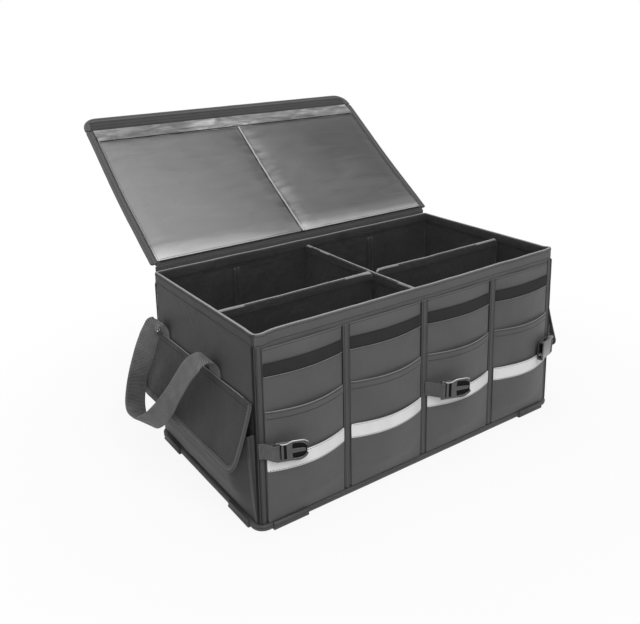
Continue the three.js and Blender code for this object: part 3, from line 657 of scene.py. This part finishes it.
def front_surface(bulge, base, top=None, hem=0.0, hem_lift=0.7):
    def point(x, z):
        out = base + bulge(z) * pillow(x) + crease(x, z) * smooth((z - FOOT) / 20) * min(1, pillow(x) * 4)
        if hem:
            out += hem_lift * smooth((z - (top - hem)) / 1.2)
        return lean(x, -HALF_D - out, z)
    return point


def rows_for(low, high, gap, hem=0.0):
    zs = steps(low, high, max(3, int((high - low) / gap)))
    if hem:
        zs = [z for z in zs if abs(z - (high - hem)) > 1.6] + [high - hem - 0.4, high - hem + 0.9]
    return sorted(zs)


def front_cloth(name, xs, zs, surface, material, slot, node, thick=1.2):
    cloth(name, xs, zs, surface, material, "box", slot, [node], thick)


cover = front_surface(cover_bulge, 0.95)
upper = front_surface(upper_bulge, 2.5, UPPER_TOP, 13)
lower = front_surface(lower_bulge, 4.1)
shine = front_surface(lower_bulge, 5.25)
hook = front_surface(cover_bulge, 2.7)
# Rows of stitches: surface, height and lift off it.
ROWS = [(upper, UPPER_TOP - 11.3, 0.7), (upper, UPPER_TOP - 2.5, 0.7), (shine, LOWER_TOP - 22.8, 0.5),
        (shine, LOWER_TOP - 2.4, 0.5), (hook, HOOK_LOW + 1.4, 0.9), (hook, HOOK_HIGH - 1.4, 0.9),
        (cover, COVER_TOP - 3, 0.7)]
cover_xs = sorted({x for a, b in COLUMNS for x in steps(a, b, 26)} | {-149.9, -0.1, 0.1, 149.9})
front_cloth("front_panel", cover_xs, rows_for(FOOT, COVER_TOP, 9), cover, CLOTH, FABRIC,
            "front_cover")
for i, (a, b) in enumerate(COLUMNS, 1):
    xs = steps(a, b, 34)
    front_cloth(f"pocket_upper_{i}", xs, rows_for(FOOT, UPPER_TOP, 7, 13), upper, CLOTH, FABRIC,
                f"upper_pocket_{i}")
    front_cloth(f"pocket_lower_{i}", xs, rows_for(FOOT, LOWER_TOP, 6), lower, CLOTH, FABRIC,
                f"lower_pocket_{i}")
    front_cloth(f"reflective_{i}", xs, rows_for(LOWER_TOP - 25, LOWER_TOP - 0.4, 5), shine, SHINE,
                "reflective_tape", f"reflective_strip_{i}", 0.8)
    front_cloth(f"hook_tape_{i}", xs, rows_for(HOOK_LOW, HOOK_HIGH, 4), hook, HOOK, "hook_and_loop",
                f"hook_strip_{i}", 1.6)
    # Painted highlight lines along each upper pocket's top edge and under each hook strip.
    for label, surface, z in (("upper", upper, UPPER_TOP), ("hook", hook, HOOK_LOW - 0.4)):
        band(f"edge_{label}_{i}", [(surface(x, z), Z, -Y) for x in xs], flat_section(1.0, 1.7, 0.9), PAINTED_HIGHLIGHT,
             "box", FABRIC)
    for surface, z, lift in ROWS:
        stitch(surface_line(surface, (a + 2, z), (b - 2, z), lift))

SEAM_TAPE = [(-5.8, -1.3), (0, -1.3), (5.8, -1.3), (6, 0.4), (4.6, 1.1), (1.2, 1.3), (0, 0.8), (-1.2, 1.3),
             (-4.6, 1.1), (-6, 0.4)]
for i, x in enumerate((-150, 0, 150), 1):
    places = [(lean(x + 0.5 * ripple(z, i, 40), -HALF_D - 3.4, z), X, -Y) for z in steps(FOOT, COVER_TOP, 44)]
    band(f"seam_tape_{i}", places, SEAM_TAPE, TAPE, nodes=[f"front_tape_{i}"])
    for side, label in ((-1, "left"), (1, "right")):
        stitch([p[0] + p[1] * (side * 3.4) + p[2] * 1.25 for p in places])
        # Dark strips of painted shade along both edges of the tape.
        shade_line = [(middle + across * (side * 6.4) - outward * 0.8, across, outward)
                 for middle, across, outward in places]
        band(f"seam_painted_shade_{i}_{label}", shade_line, flat_section(1.5, 1.2), THREAD_AND_SHADE)


def corner_tapes(face, ey, end, ex):
    zs = steps(FOOT, 281, 46)

    def upright(name, x, y, nx, ny, section, material, nodes=()):
        way, out = Vector((-ny * ex, nx * ey, 0)), Vector((nx * ex, ny * ey, 0))
        places = [(lean((x + 0.3 * ripple(z, x, 30)) * ex, (y + 0.2 * ripple(z, y, 24)) * ey, z), way, out)
                  for z in zs]
        band(f"{name}_{face}_{end}", places, section, material, nodes=nodes)

    upright("corner_binding", HALF_W - 7.6, HALF_D + 0.95, 0, 1, flat_section(8.4, 1.3), TAPE,
            [f"corner_tape_{face}_{end}"])
    upright("corner_piping", HALF_W - 1.2, HALF_D + 0.35, 0.35, 0.94, flat_section(2.2, 2.6, 0.95), SHADED_CLOTH)
    # A dark strip of painted shade in the gap between the side wall and the corner tape.
    upright("corner_painted_shade", HALF_W + 0.3, HALF_D - 2.6, 1, 0, flat_section(4.6, 0.8), THREAD_AND_SHADE)
    for x in (HALF_W - 10.8, HALF_W - 4.6):
        stitch([lean(x * ex, (HALF_D + 1.6) * ey, z) for z in zs])


for end, ex in (("left", -1), ("right", 1)):
    for face, ey in (("front", -1), ("back", 1)):
        corner_tapes(face, ey, end, ex)


# Base.
path = ring_path(HALF_W * (1 + BASE_SPREAD), HALF_D * (1 + BASE_SPREAD), 13.0, 12.0)
EDGE_SECTION = [(-2.4, 2.2), (2, 2.1), (5.4, 2.2), (6.5, 3.4), (6.7, 6.5), (6.4, 9.4), (5.2, 10.7), (3, 11.0),
                (0.9, 10.95)]
rows = [[Vector((x + nx * out, y + ny * out, z + 0.25 * ripple(x, y, 40))) - DATUM for out, z in EDGE_SECTION]
        for x, y, nx, ny in path]
grid("base_edge", rows, round_lengths(path), lengths([Vector((*pair, 0)) for pair in EDGE_SECTION]), TAPE,
     "box", FABRIC, ["base_binding"], round_u=True, thick=1.2)
line = [Vector((x + nx * 6.9, y + ny * 6.9, 8.2)) - DATUM for x, y, nx, ny in path]
stitch(line + line[:1])
frame["nodes"]["base_board"].data.materials.clear()
frame["nodes"]["base_board"].data.materials.append(BOARD)
for first in ("front", "back"):
    for second in ("left", "right"):
        for label in (f"{first}_{second}", f"{second}_{first}"):
            refined(f"grip_strip_{label}", f"grip_{label}", GRIP, "grip_strip", 0.35)


# Side pockets, flaps and handles: made for the left and mirrored.
POCKET_TOP = 150
pocket_middle = curve([(FOOT, 1.8), (30, 11.9), (59.4, 21.6), (90, 28), (110, 25.1), (130, 19.7),
                       (POCKET_TOP, 13.2)])


def pocket_point(t, z):
    """t runs from the front fold to the back fold, with the gussets at its two ends."""
    edge = 1.8 + z / 15
    y = SIDE_FRONT + clamp(t, 0, 1) * (SIDE_BACK - SIDE_FRONT)
    inset = min(y - SIDE_FRONT, SIDE_BACK - y)
    out = edge + (pocket_middle(z) - edge) * smooth(inset / 38) - 0.75
    out += 0.9 * ripple(y, z, 45, 4) * smooth(inset / 10)
    if t < 0 or t > 1:
        gusset = -t if t < 0 else t - 1
        share = clamp(1 - gusset * 50)
        out = 0.5 + (out - 0.5) * share
        y += (1 if t < 0 else -1) * (1 - share) * share * 6
    return lean(-HALF_W - out, y, z)


def flap_point(y, share):
    away = min(y - SIDE_FRONT, SIDE_BACK - y, FLAP_RADIUS)
    lift = FLAP_RADIUS - math.sqrt(max(0.0, FLAP_RADIUS ** 2 - (FLAP_RADIUS - away) ** 2))
    z = FLAP_TOP - share * (FLAP_DROP - lift)
    dips = math.exp(-((y + 92) / 24) ** 2) + 0.8 * math.exp(-((y - 62) / 22) ** 2)
    out = 2.8 + (max(0.0, FLAP_TOP - z) / FLAP_DROP) ** 1.1 * 33
    out += share * 1.2 * ripple(y, z, 60, 8) - 4.0 * dips * math.sin(math.pi * clamp(share)) * share ** 0.4
    return lean(-HALF_W - out, y, z)


# The webbing comes up behind the flap's seam, bends over outwards and hangs in a skewed loop.
# Each station: out from the wall, y, z, and the way across the webbing.
LEVEL = (0, -1, 0)
TAB = [(1.1, 187), (1.1, 199), (2.2, 210), (6.5, 220)]  # out and z of the webbing's two ends
HANDLE = [((out, -50, z), LEVEL) for out, z in TAB] + [
    ((13.5, -49, 225.5), LEVEL), ((21, -46, 225), (0, -1, -0.05)), ((28, -39, 218), (0, -0.97, -0.2)),
    ((34, -26, 204), (0, -0.93, -0.35)), ((46, -2, 164), (0, -0.82, -0.57)),
    ((57, 16, 132), (0.15, -0.65, -0.75)), ((64, 56, 93), (0.5, -0.25, -0.83)),
    ((66, 103, 72), (0.78, 0, -0.62)), ((64, 130, 86), (0.95, 0, -0.3)), ((56, 135, 126), (1, 0, 0)),
    ((41, 135, 168), (0.93, -0.3, 0.2)), ((28, 136, 200), (0.75, -0.6, 0.3)),
    ((22, 136, 214), (0.5, -0.82, 0.2)), ((17, 131, 222), (0.1, -0.98, 0.05)), ((13, 130, 224.5), LEVEL),
] + [((out, 130, z), LEVEL) for out, z in reversed(TAB)]
HANDLE_STEPS = 200


def from_wall(out, y, z):
    return Vector((-HALF_W * spread(z) - out, y, z))


def catmull(points, t):
    """Centripetal Catmull-Rom curve through points, at t from 0 to 1."""
    n = len(points)
    p = (n - 1) * t
    k = min(int(p), n - 2)
    w = p - k
    p1, p2 = points[k], points[k + 1]
    p0 = points[k - 1] if k > 0 else points[0] * 2 - points[1]
    p3 = points[k + 2] if k + 2 < n else points[n - 1] * 2 - points[n - 2]
    d0, d1, d2 = ((b - a).length ** 0.5 for a, b in ((p0, p1), (p1, p2), (p2, p3)))
    t1 = ((p1 - p0) / d0 - (p2 - p0) / (d0 + d1) + (p2 - p1) / d1) * d1
    t2 = ((p2 - p1) / d1 - (p3 - p1) / (d1 + d2) + (p3 - p2) / d2) * d1
    return p1 + t1 * w + (-3 * p1 + 3 * p2 - 2 * t1 - t2) * w ** 2 + (2 * p1 - 2 * p2 + t1 + t2) * w ** 3


def mirrored(sign, *points):
    return [Vector((point.x * sign, point.y, point.z)) for point in points]


def mirrored_rows(sign, rows):
    return [mirrored(sign, *row) for row in rows]


def side_pocket(name, sign):
    ts = [-0.02, -0.015, -0.01, -0.004] + steps(0, 1, 60) + [1.004, 1.01, 1.015, 1.02]
    zs = rows_for(FOOT, POCKET_TOP, 6)
    rows = mirrored_rows(sign, [[pocket_point(t, z) for z in zs] for t in ts])
    us = [SIDE_FRONT + t * (SIDE_BACK - SIDE_FRONT) for t in ts]
    pocket = grid(f"pocket_side_{name}", rows, us, zs, SHADED_CLOTH, "box", FABRIC,
                  [f"side_pocket_{name}"], thick=1.4)
    pocket.data.materials.append(LINING_AND_SHADE)
    # The gussets at both ends take the dark lining as painted shade.
    for face in pocket.data.polygons:
        if abs(face.center.y) > (SIDE_BACK - 0.6) * MM:
            face.material_index = 1


def flap_binding(name, sign, ys):
    """The tape round the flap's free edge: down the front end, along the lower edge and up the back end."""
    ends = [[flap_point(y, share) for share in steps(0, 0.98, 24)]
            for y in (SIDE_FRONT + 0.01, SIDE_BACK - 0.01)]
    edge = ends[0] + [flap_point(y, 1.0) for y in ys[1:-1]] + ends[1][::-1]
    down_flap = Vector((-0.33, 0, -1))
    places = []
    for k, here in enumerate(edge):
        along = (edge[min(len(edge) - 1, k + 1)] - edge[max(0, k - 1)]).normalized()
        if abs(along.y) > 0.7:
            inward = -(down_flap - along * down_flap.dot(along)).normalized()
            normal = along.cross(inward).normalized()
            if normal.x > 0:
                normal = -normal
        else:
            normal = (along * along.x - X).normalized()
            inward = normal.cross(along).normalized()
            if inward.dot(Vector((0, -here.y, 210 - here.z))) < 0:
                inward = -inward
        places.append((here + inward * 4.2, inward, normal))
    places = mirrored_rows(sign, places)
    band(f"flap_binding_{name}", places, flat_section(9.4, 2.9, 0.5), TAPE)
    for inset in (3.2, -2.6):
        stitch([m + i * inset + n * 1.45 for m, i, n in places])


def side_flap(name, sign):
    rounding = [FLAP_RADIUS * (1 - math.cos(math.radians(a))) for a in steps(0, 90, 9)]
    ys = [SIDE_FRONT + d for d in rounding] + steps(SIDE_FRONT + 30, SIDE_BACK - 30, 34) + \
        [SIDE_BACK - d for d in reversed(rounding)]
    shares = steps(0, 1, 20)
    rows = mirrored_rows(sign, [[flap_point(y, share) for share in shares] for y in ys])
    flap = grid(f"flap_{name}", rows, ys, [share * FLAP_LENGTH for share in shares], SHADED_FLAP_CLOTH, "box",
                FABRIC, [f"side_flap_{name}"], thick=1.5)
    flap_binding(name, sign, ys)

    seam = [(mirrored(sign, lean(-HALF_W - 1.9, y, FLAP_TOP + 0.2 + 0.4 * ripple(y, 0, 30)))[0], Z, -sign * X)
            for y in steps(SIDE_FRONT, SIDE_BACK, 60)]
    band(f"flap_seam_{name}", seam, flat_section(4.4, 3.0, 0.9), SHADED_CLOTH, "box", FABRIC)
    # A thin painted highlight along the top of the flap's seam.
    ridge = [(m + a * 2.2 + n * 0.6, a, n) for m, a, n in seam[4:-4]]
    band(f"flap_ridge_{name}", ridge, flat_section(1.1, 1.6, 0.9), PAINTED_HIGHLIGHT, "box", FABRIC)
    line = mirrored(sign, *(flap_point(y, 0.07) for y in steps(-154, 154, 60)))
    stitch([point + Vector((-sign * 0.8, 0, 0.2)) for point in line])


def side_handle(name, sign):
    route = [from_wall(*place) for place, _ in HANDLE]
    spans = len(route) - 1
    places = []
    for k in range(HANDLE_STEPS + 1):
        t = k / HANDLE_STEPS
        at = min(int(t * spans), spans - 1)
        low, high = Vector(HANDLE[at][1]), Vector(HANDLE[at + 1][1])
        along = (catmull(route, min(1, t + 0.002)) - catmull(route, max(0, t - 0.002))).normalized()
        across = low.lerp(high, smooth(t * spans - at))
        across = (across - along * across.dot(along)).normalized()
        places.append((catmull(route, t), across, along.cross(across).normalized()))
    loop = band(f"handle_loop_{name}", mirrored_rows(sign, places), flat_section(35, 1.7), WEBBING, None,
                "webbing", [f"handle_{name}"])
    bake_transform(loop)


for name, sign in (("left", 1), ("right", -1)):
    side_pocket(name, sign)
    side_flap(name, sign)
    side_handle(name, sign)


# Buckles: the plugs' and socket's solids, moved and scaled to where the photo shows them.
BUCKLE_LIFT = Vector((0, -0.8, 9.0)) * MM


def about(pivot, change):
    """A change about a pivot in the model's millimetres, and the lift that all the buckles share."""
    pivot = Vector(pivot) * MM
    return Matrix.Translation(pivot + BUCKLE_LIFT) @ change @ Matrix.Translation(-pivot)


BUCKLES = {
    "plug_left": about((-289, -178, 135), Matrix.Diagonal((0.88, 1, 0.95, 1))),
    "plug_middle": about((0, 0, 0), Matrix.Translation((-14 * MM, 0, 0))),
    "socket_right": about((298, -180, 135), Matrix.Rotation(math.radians(-16), 4, "Z")),
}
STRAP_SHRINK = 22 / 36  # the middle strap's length in the photo, as a share of the solid's


def plug_rail(name, plug):
    """A slim light rib along the upper edge of a plug, coloured as a painted highlight."""
    points = [v.co / MM for v in plug.data.vertices]
    line = []
    for x in steps(min(p.x for p in points) + 2, max(p.x for p in points) - 0.6, 26):
        near = [p for p in points if abs(p.x - x) < 3.2]
        z = max(p.z for p in near)
        y = min(p.y for p in near if p.z > z - 2)
        line.append(Vector((x, y, z)) - DATUM)
    for _ in range(3):
        line = line[:1] + [(p + q + r) / 3 for p, q, r in zip(line, line[1:], line[2:])] + line[-1:]
    places = [(p, Vector((0, -0.6, -0.8)), Vector((0, -0.8, 0.6))) for p in line]
    band(name, places, flat_section(1.8, 1.5, 0.9), HIGHLIGHT_PLASTIC, "box", "black_plastic")


def plug_floor(name, plug):
    """A near-black plate at the bottom of a plug's slots, coloured as painted shade: its hull, made thin and
    a little smaller.
    """
    mesh = bpy.data.meshes.new(name)
    with editing(plug.data, mesh) as edit:
        hull = set(bmesh.ops.convex_hull(edit, input=edit.verts)["geom"])
        bmesh.ops.delete(edit, geom=[f for f in edit.faces if f not in hull], context="FACES")
        bmesh.ops.delete(edit, geom=[v for v in edit.verts if not v.link_faces], context="VERTS")
    centre = sum((v.co for v in mesh.vertices), Vector()) / len(mesh.vertices)
    points = [v.co - centre for v in mesh.vertices]
    scatter = Matrix([[sum(p[i] * p[j] for p in points) for j in range(3)] for i in range(3)]).inverted()
    normal = Vector((0.1, -1, 0.1))
    for _ in range(40):  # settles on the direction in which the plug is thinnest
        normal = (scatter @ normal).normalized()
    for vertex in mesh.vertices:
        offset = vertex.co - centre
        depth = normal * offset.dot(normal)
        vertex.co = centre + (offset - depth) * 0.86 + depth * 0.12
    keep(bpy.data.objects.new(name, mesh), SHADE_PLASTIC, "box", "black_plastic")


for piece, change in BUCKLES.items():
    buckle = refined(piece, f"buckle_{piece}", PLASTIC, "black_plastic", 0.5, 3)
    buckle.data.transform(change)
    if piece != "socket_right":
        plug_rail(f"{piece}_rail", buckle)
        plug_floor(f"{piece}_floor", buckle)
for place in ("left", "middle", "right"):
    strap = refined(f"strap_{place}", f"buckle_strap_{place}", WEBBING, "webbing", 0.35)
    strap.data.transform(Matrix.Translation(BUCKLE_LIFT))
    if place == "middle":
        strap.data.transform(Matrix.Diagonal((STRAP_SHRINK, 1, 1, 1)))
    layer = strap.data.uv_layers.get("UVMap") or strap.data.uv_layers.new(name="UVMap")
    for loop, spot in zip(strap.data.loops, layer.data):
        p = strap.data.vertices[loop.vertex_index].co
        spot.uv = (p.x - p.y, p.z)


# Lid.
def lid_point(x, s, inner):
    """x across, s from the hinge, inner is the depth from the lid's outer face."""
    c, d = math.cos(LID_ANGLE), math.sin(LID_ANGLE)
    x += LID_SKEW * smooth((s - 120) / 240)
    return Vector((x, HINGE_Y - c * s - d * inner, HINGE_Z + d * s - c * inner))


LID_ALONG = (lid_point(0, 1, 0) - lid_point(0, 0, 0)).normalized()
LID_IN = (lid_point(0, 0, 1) - lid_point(0, 0, 0)).normalized()


def lid_cloth(name, xs, ss, inner, material, body, slot, nodes=(), thick=1.2):
    cloth(name, xs, ss, lambda x, s: lid_point(x, s, inner(x, s)), material, body, slot, nodes, thick)


def shell_depth(x, s):
    """The shell turns in to the hinge line at one end and to the fold line at the other."""
    fold = smooth((s - FOLD + 7) / 7)
    return (2.0 + 0.3 * ripple(x, s, 80, 2)) * smooth(s / 9) * (1 - fold) + 3.6 * fold


lid_cloth("lid_shell", steps(-296, 296, 60),
          [0, 1.5, 3, 5, 9] + steps(18, FOLD - 12, 30) + [FOLD - 6, FOLD - 3, FOLD],
          shell_depth, SHADED_CLOTH, "lid", FABRIC, ["lid_cover"], thick=1.5)


def panel_depth(a, b):
    def depth(x, s):
        side = min(x - a, b - x)
        end = min(s - LINER_START, LINER_END - s)
        crown = smooth(clamp(side / 26)) ** 0.6 * smooth(clamp(end / 22)) ** 0.6
        seam = min(abs(x - 3), abs(x + 3))
        pulls = math.exp(-seam / 20) * 2.0 * ripple(x * 0.3, s, 10, 1)
        pulls += math.exp(-min(side, end) / 16) * 1.5 * ripple(x * 0.6, s * 0.9, 13, 6)
        pulls += 0.9 * ripple(x + s * 0.6, s * 0.25, 60, 12)
        return 3.4 + 3.4 * crown + pulls * clamp(min(side, end) / 6)
    return depth


for side, a, b in (("left", -290.5, -2.2), ("right", 2.2, 290.5)):
    rounding = [0, 1.2, 3, 6, 10, 16, 24]
    xs = [a + d for d in rounding] + steps(a + 34, b - 34, 30) + [b - d for d in reversed(rounding)]
    ss = [LINER_START + d for d in rounding] + steps(40, 265, 34) + \
        [LINER_END - d for d in reversed(rounding)]
    depth = panel_depth(a, b)
    lid_cloth(f"lid_liner_{side}", xs, ss, depth, LINER_LEFT if a < 0 else LINER_RIGHT, "lid", "lid_liner",
              [f"lid_panel_{side}"], thick=1.0)
    for line in ([(a + 2.5, s) for s in ss], [(b - 2.5, s) for s in ss], [(x, 9.5) for x in xs]):
        stitch([lid_point(x, s, depth(x, s) + 0.6) for x, s in line], "lid")

welt = []
for s in steps(5, 299, 90):
    wobble = 0.5 * ripple(s, 1, 14)
    welt.append((lid_point(wobble, s, 4.4 + 0.5 * ripple(s, 5, 12)), X, LID_IN))
band("lid_welt", welt, flat_section(3.4, 3.4, 0.9), WELT, "lid", "lid_liner")
shade = [(middle - across * 3.0 - outward * 1.2, across, outward) for middle, across, outward in welt]
band("lid_welt_shade", shade, flat_section(2.2, 1.6, 0.9), THREAD_AND_SHADE, "lid")
for label, s, depth_at in (("fold", 298.6, 5.2), ("hinge", 5.2, 4.6)):
    line = [(lid_point(x, s + 0.4 * ripple(x, s, 30), depth_at), LID_ALONG, LID_IN)
            for x in steps(-289, 289, 90)]
    band(f"lid_shade_{label}", line, flat_section(2.2, 1.6, 0.9), THREAD_AND_SHADE, "lid")


def crease_depth(x, s):
    t = (s - 296) / 30
    rise = math.sin(math.pi * clamp(t)) ** 0.7
    folds = 2.0 * ripple(x * 0.5, s * 1.5, 13, 3) + 1.3 * ripple(x * 0.35, s * 2, 7, 8)
    pucker = (2.2 + 1.6 * ripple(x, s, 6, 2)) * math.exp(-(x / 20) ** 2)
    flat = 1 - 0.78 * smooth((s - 303) / 12)
    return 3.4 + (3.0 + folds + pucker) * rise * flat + 0.8 * smooth((s - 325) / 5)


lid_cloth("lid_crease_band", steps(-290.5, 290.5, 170), steps(296, 330, 18), crease_depth, FOLDS, "lid",
          "lid_liner", thick=0.8)
lid_cloth("strip_shell", steps(-296, 296, 50), [FOLD + d for d in (0, 2, 4.5, 8, 12, 17, STRIP - 8)],
          lambda x, s: 2.0 + 1.6 * (1 - smooth((s - FOLD) / 6)), SHADED_CLOTH,
          "closing_strip", FABRIC, ["lid_closing_strip"], thick=1.5)
lid_cloth("strip_loop", steps(-291, 291, 60), steps(FOLD + 0.3, FOLD + STRIP - 11, 6),
          lambda x, s: 3.7 + 0.3 * ripple(x, s, 20), LOOP, "closing_strip", "hook_and_loop",
          ["lid_loop_tape"], thick=1.4)
fold_line = [(lid_point(x, FOLD, 4.0), LID_ALONG, LID_IN) for x in steps(-298, 298, 60)]
band("fold_cord", fold_line, flat_section(2.8, 2.8, 0.95), LOOP, "lid")
for s in (FOLD + 3, FOLD + 10, FOLD + 19):
    stitch([lid_point(x, s, 4.5) for x in steps(-288, 288, 60)], "closing_strip")


LOWER_HALF = [(-6.3, -0.9), (-5.6, -1.9), (-2.5, -2.1), (0.4, -1.9), (1.2, -1.1), (2.0, -1.9), (5.8, -2.0),
              (6.3, -1.2)]


def lid_binding(name, plan, body):
    """plan holds (x, s, inwards x, inwards s) along the outer edge."""
    places = []
    for x, s, in_x, in_s in plan:
        inward = X * in_x + LID_ALONG * in_s
        places.append((lid_point(x, s, 2.1) + inward * (6.3 + 0.3 * ripple(x, s, 30, 5)), inward, LID_IN))
    band(name, places, LOWER_HALF + [(a, -b) for a, b in reversed(LOWER_HALF)], TAPE, body)
    for inset in (-1.4, 4.6):
        for side in (-1, 1):
            stitch([m + i * inset + n * (2.2 * side) for m, i, n in places], body)


def strip_corner(sign):
    """The rounded corner of the closing strip, from its side to its free edge."""
    turns = [math.radians(a) for a in steps(8, 82, 9)]
    return [(sign * (LID_HALF - corner * (1 - math.cos(t))), outer_s - corner * (1 - math.sin(t)),
             -sign * math.cos(t), -math.sin(t)) for t in turns]


for side, sign in (("left", -1), ("right", 1)):
    plan = [(sign * LID_HALF, s, -sign, 0) for s in steps(1.6, FOLD - 0.3, 50)]
    lid_binding(f"lid_binding_{side}", plan, "lid")
outer_s, corner = FOLD + STRIP, 29.0
plan = [(-LID_HALF, s, 1, 0) for s in steps(FOLD + 0.2, outer_s - corner, 3)] + strip_corner(-1)
plan += [(x, outer_s, 0, -1) for x in steps(-LID_HALF + corner, LID_HALF - corner, 70)]
plan += strip_corner(1)[::-1] + [(LID_HALF, s, -1, 0) for s in steps(outer_s - corner, FOLD + 0.2, 3)]
lid_binding("strip_binding", plan, "closing_strip")

hinge = [(Vector((x, HINGE_Y, 283)), Vector((x, HINGE_Y, 307.6))) for x in steps(-297, 297, 80)]
rows = [[low.lerp(high, t) + Y * (0.35 * ripple(low.x, t * 20, 25) * (1 - t)) for t in steps(0, 1, 8)]
        for low, high in hinge]
grid("hinge_tape", rows, [row[0].x for row in rows], steps(0, 25, 8), TAPE, "box", "dark_tape",
     ["lid_hinge_tape"], thick=1.1)
for z in (286.0, 297.0):
    stitch([Vector((x, HINGE_Y + 0.65, z)) for x in steps(-295, 295, 60)])

for body, (verts, faces) in threads.items():
    mesh = bpy.data.meshes.new(f"stitches_{body}")
    mesh.from_pydata([(v + DATUM) * MM for v in verts], [], faces)
    mesh.shade_smooth()
    keep(bpy.data.objects.new(f"stitches_{body}", mesh), THREAD_AND_SHADE, body, "dark_tape")


# Floor, light and camera. The camera was fitted to the photo.
CAMERA_ANGLES = (-34.146, 22.141, -1.636)  # azimuth, elevation and roll
CAMERA_PLACE = (-707.4, -922.9, 677.9)
CAMERA_LENS = 40.372
FLOOR_HALF = 9  # metres
LIT_POINT = Vector((0, 0, 0.2))
WHITE = (1, 1, 1, 1)


def seen_rays(tree):
    """1 for a camera, glossy or transmission ray."""
    rays = add(tree, "LightPath").outputs
    seen = calculate(tree, "MAXIMUM", rays["Is Camera Ray"], rays["Is Glossy Ray"])
    return calculate(tree, "MAXIMUM", seen, rays["Is Transmission Ray"])


def show(tree, share, usual, seen, output):
    """Shows `seen` by its share, and `usual` for the rest."""
    mix = add(tree, "MixShader")
    for socket, source in zip(mix.inputs, (share, usual.outputs[0], seen.outputs[0])):
        feed(tree, socket, source)
    fill(tree, tree.nodes[output], {"Surface": mix.outputs[0]})


def backdrop():
    mesh = bpy.data.meshes.new("floor")
    half = FLOOR_HALF
    corners = [(-half, -half, 0), (half, -half, 0), (half, half, 0), (-half, half, 0)]
    mesh.from_pydata(corners, [], [(0, 1, 2, 3)])
    floor = bpy.data.objects.new("floor", mesh)
    material = bpy.data.materials.new("floor_paper")
    material.use_nodes = True
    tree = material.node_tree
    paper = {"Base Color": (0.62, 0.62, 0.62, 1), "Roughness": 0.9}
    shader = fill(tree, tree.nodes["Principled BSDF"], paper)
    away = add(tree, "VectorMath")
    away.operation = "LENGTH"
    feed(tree, away.inputs[0], add(tree, "NewGeometry").outputs["Position"])
    # The floor turns from 0.9 white near the box, where its shadow shows, to all white further off.
    whiter = add(tree, "MapRange", Value=away.outputs["Value"], From_Min=0.35, From_Max=0.95, To_Min=0.9,
                 To_Max=1.0)
    whiter.interpolation_type = "SMOOTHSTEP"
    share = calculate(tree, "MULTIPLY", seen_rays(tree), whiter.outputs[0])
    show(tree, share, shader, add(tree, "Emission", Color=WHITE), "Material Output")
    mesh.materials.append(material)
    bpy.context.scene.collection.objects.link(floor)


def area_light(name, direction, distance, size, power):
    data = bpy.data.lights.new(name, "AREA")
    data.shape = "RECTANGLE"
    data.size, data.size_y = size
    data.energy = power
    light = bpy.data.objects.new(name, data)
    bpy.context.scene.collection.objects.link(light)
    away = Vector(direction).normalized() * distance
    light.location = LIT_POINT + away
    light.rotation_euler = away.to_track_quat("Z", "Y").to_euler()


def world():
    made = bpy.data.worlds.new("studio")
    bpy.context.scene.world = made
    made.use_nodes = True
    tree = made.node_tree
    background = fill(tree, tree.nodes["Background"], {"Color": WHITE, "Strength": 0.32})
    show(tree, seen_rays(tree), background, add(tree, "Background", Color=WHITE), "World Output")


def camera():
    azimuth, elevation, roll = (math.radians(a) for a in CAMERA_ANGLES)
    back = Vector((math.sin(azimuth) * math.cos(elevation), -math.cos(azimuth) * math.cos(elevation),
                   math.sin(elevation)))
    right = Vector((math.cos(azimuth), math.sin(azimuth), 0))
    up = back.cross(right)
    right, up = (right * math.cos(roll) + up * math.sin(roll), up * math.cos(roll) - right * math.sin(roll))
    data = bpy.data.cameras.new("camera")
    data.sensor_width = 36
    data.lens = CAMERA_LENS
    made = bpy.data.objects.new("camera", data)
    bpy.context.scene.collection.objects.link(made)
    place = (Vector(CAMERA_PLACE) + DATUM) * MM
    turn = Matrix((right, up, back)).transposed()
    made.matrix_world = Matrix.Translation(place) @ turn.to_4x4()
    bpy.context.scene.camera = made


backdrop()
world()
area_light("key", (-0.3, -0.75, 0.85), 2.5, (1.6, 1.4), 38)
area_light("top", (0.0, 0.1, 1), 2.4, (2.0, 1.8), 34)
area_light("side", (-1, -0.1, 0.6), 2.6, (1.2, 1.2), 2)
camera()
bpy.context.scene.view_settings.view_transform = "Standard"
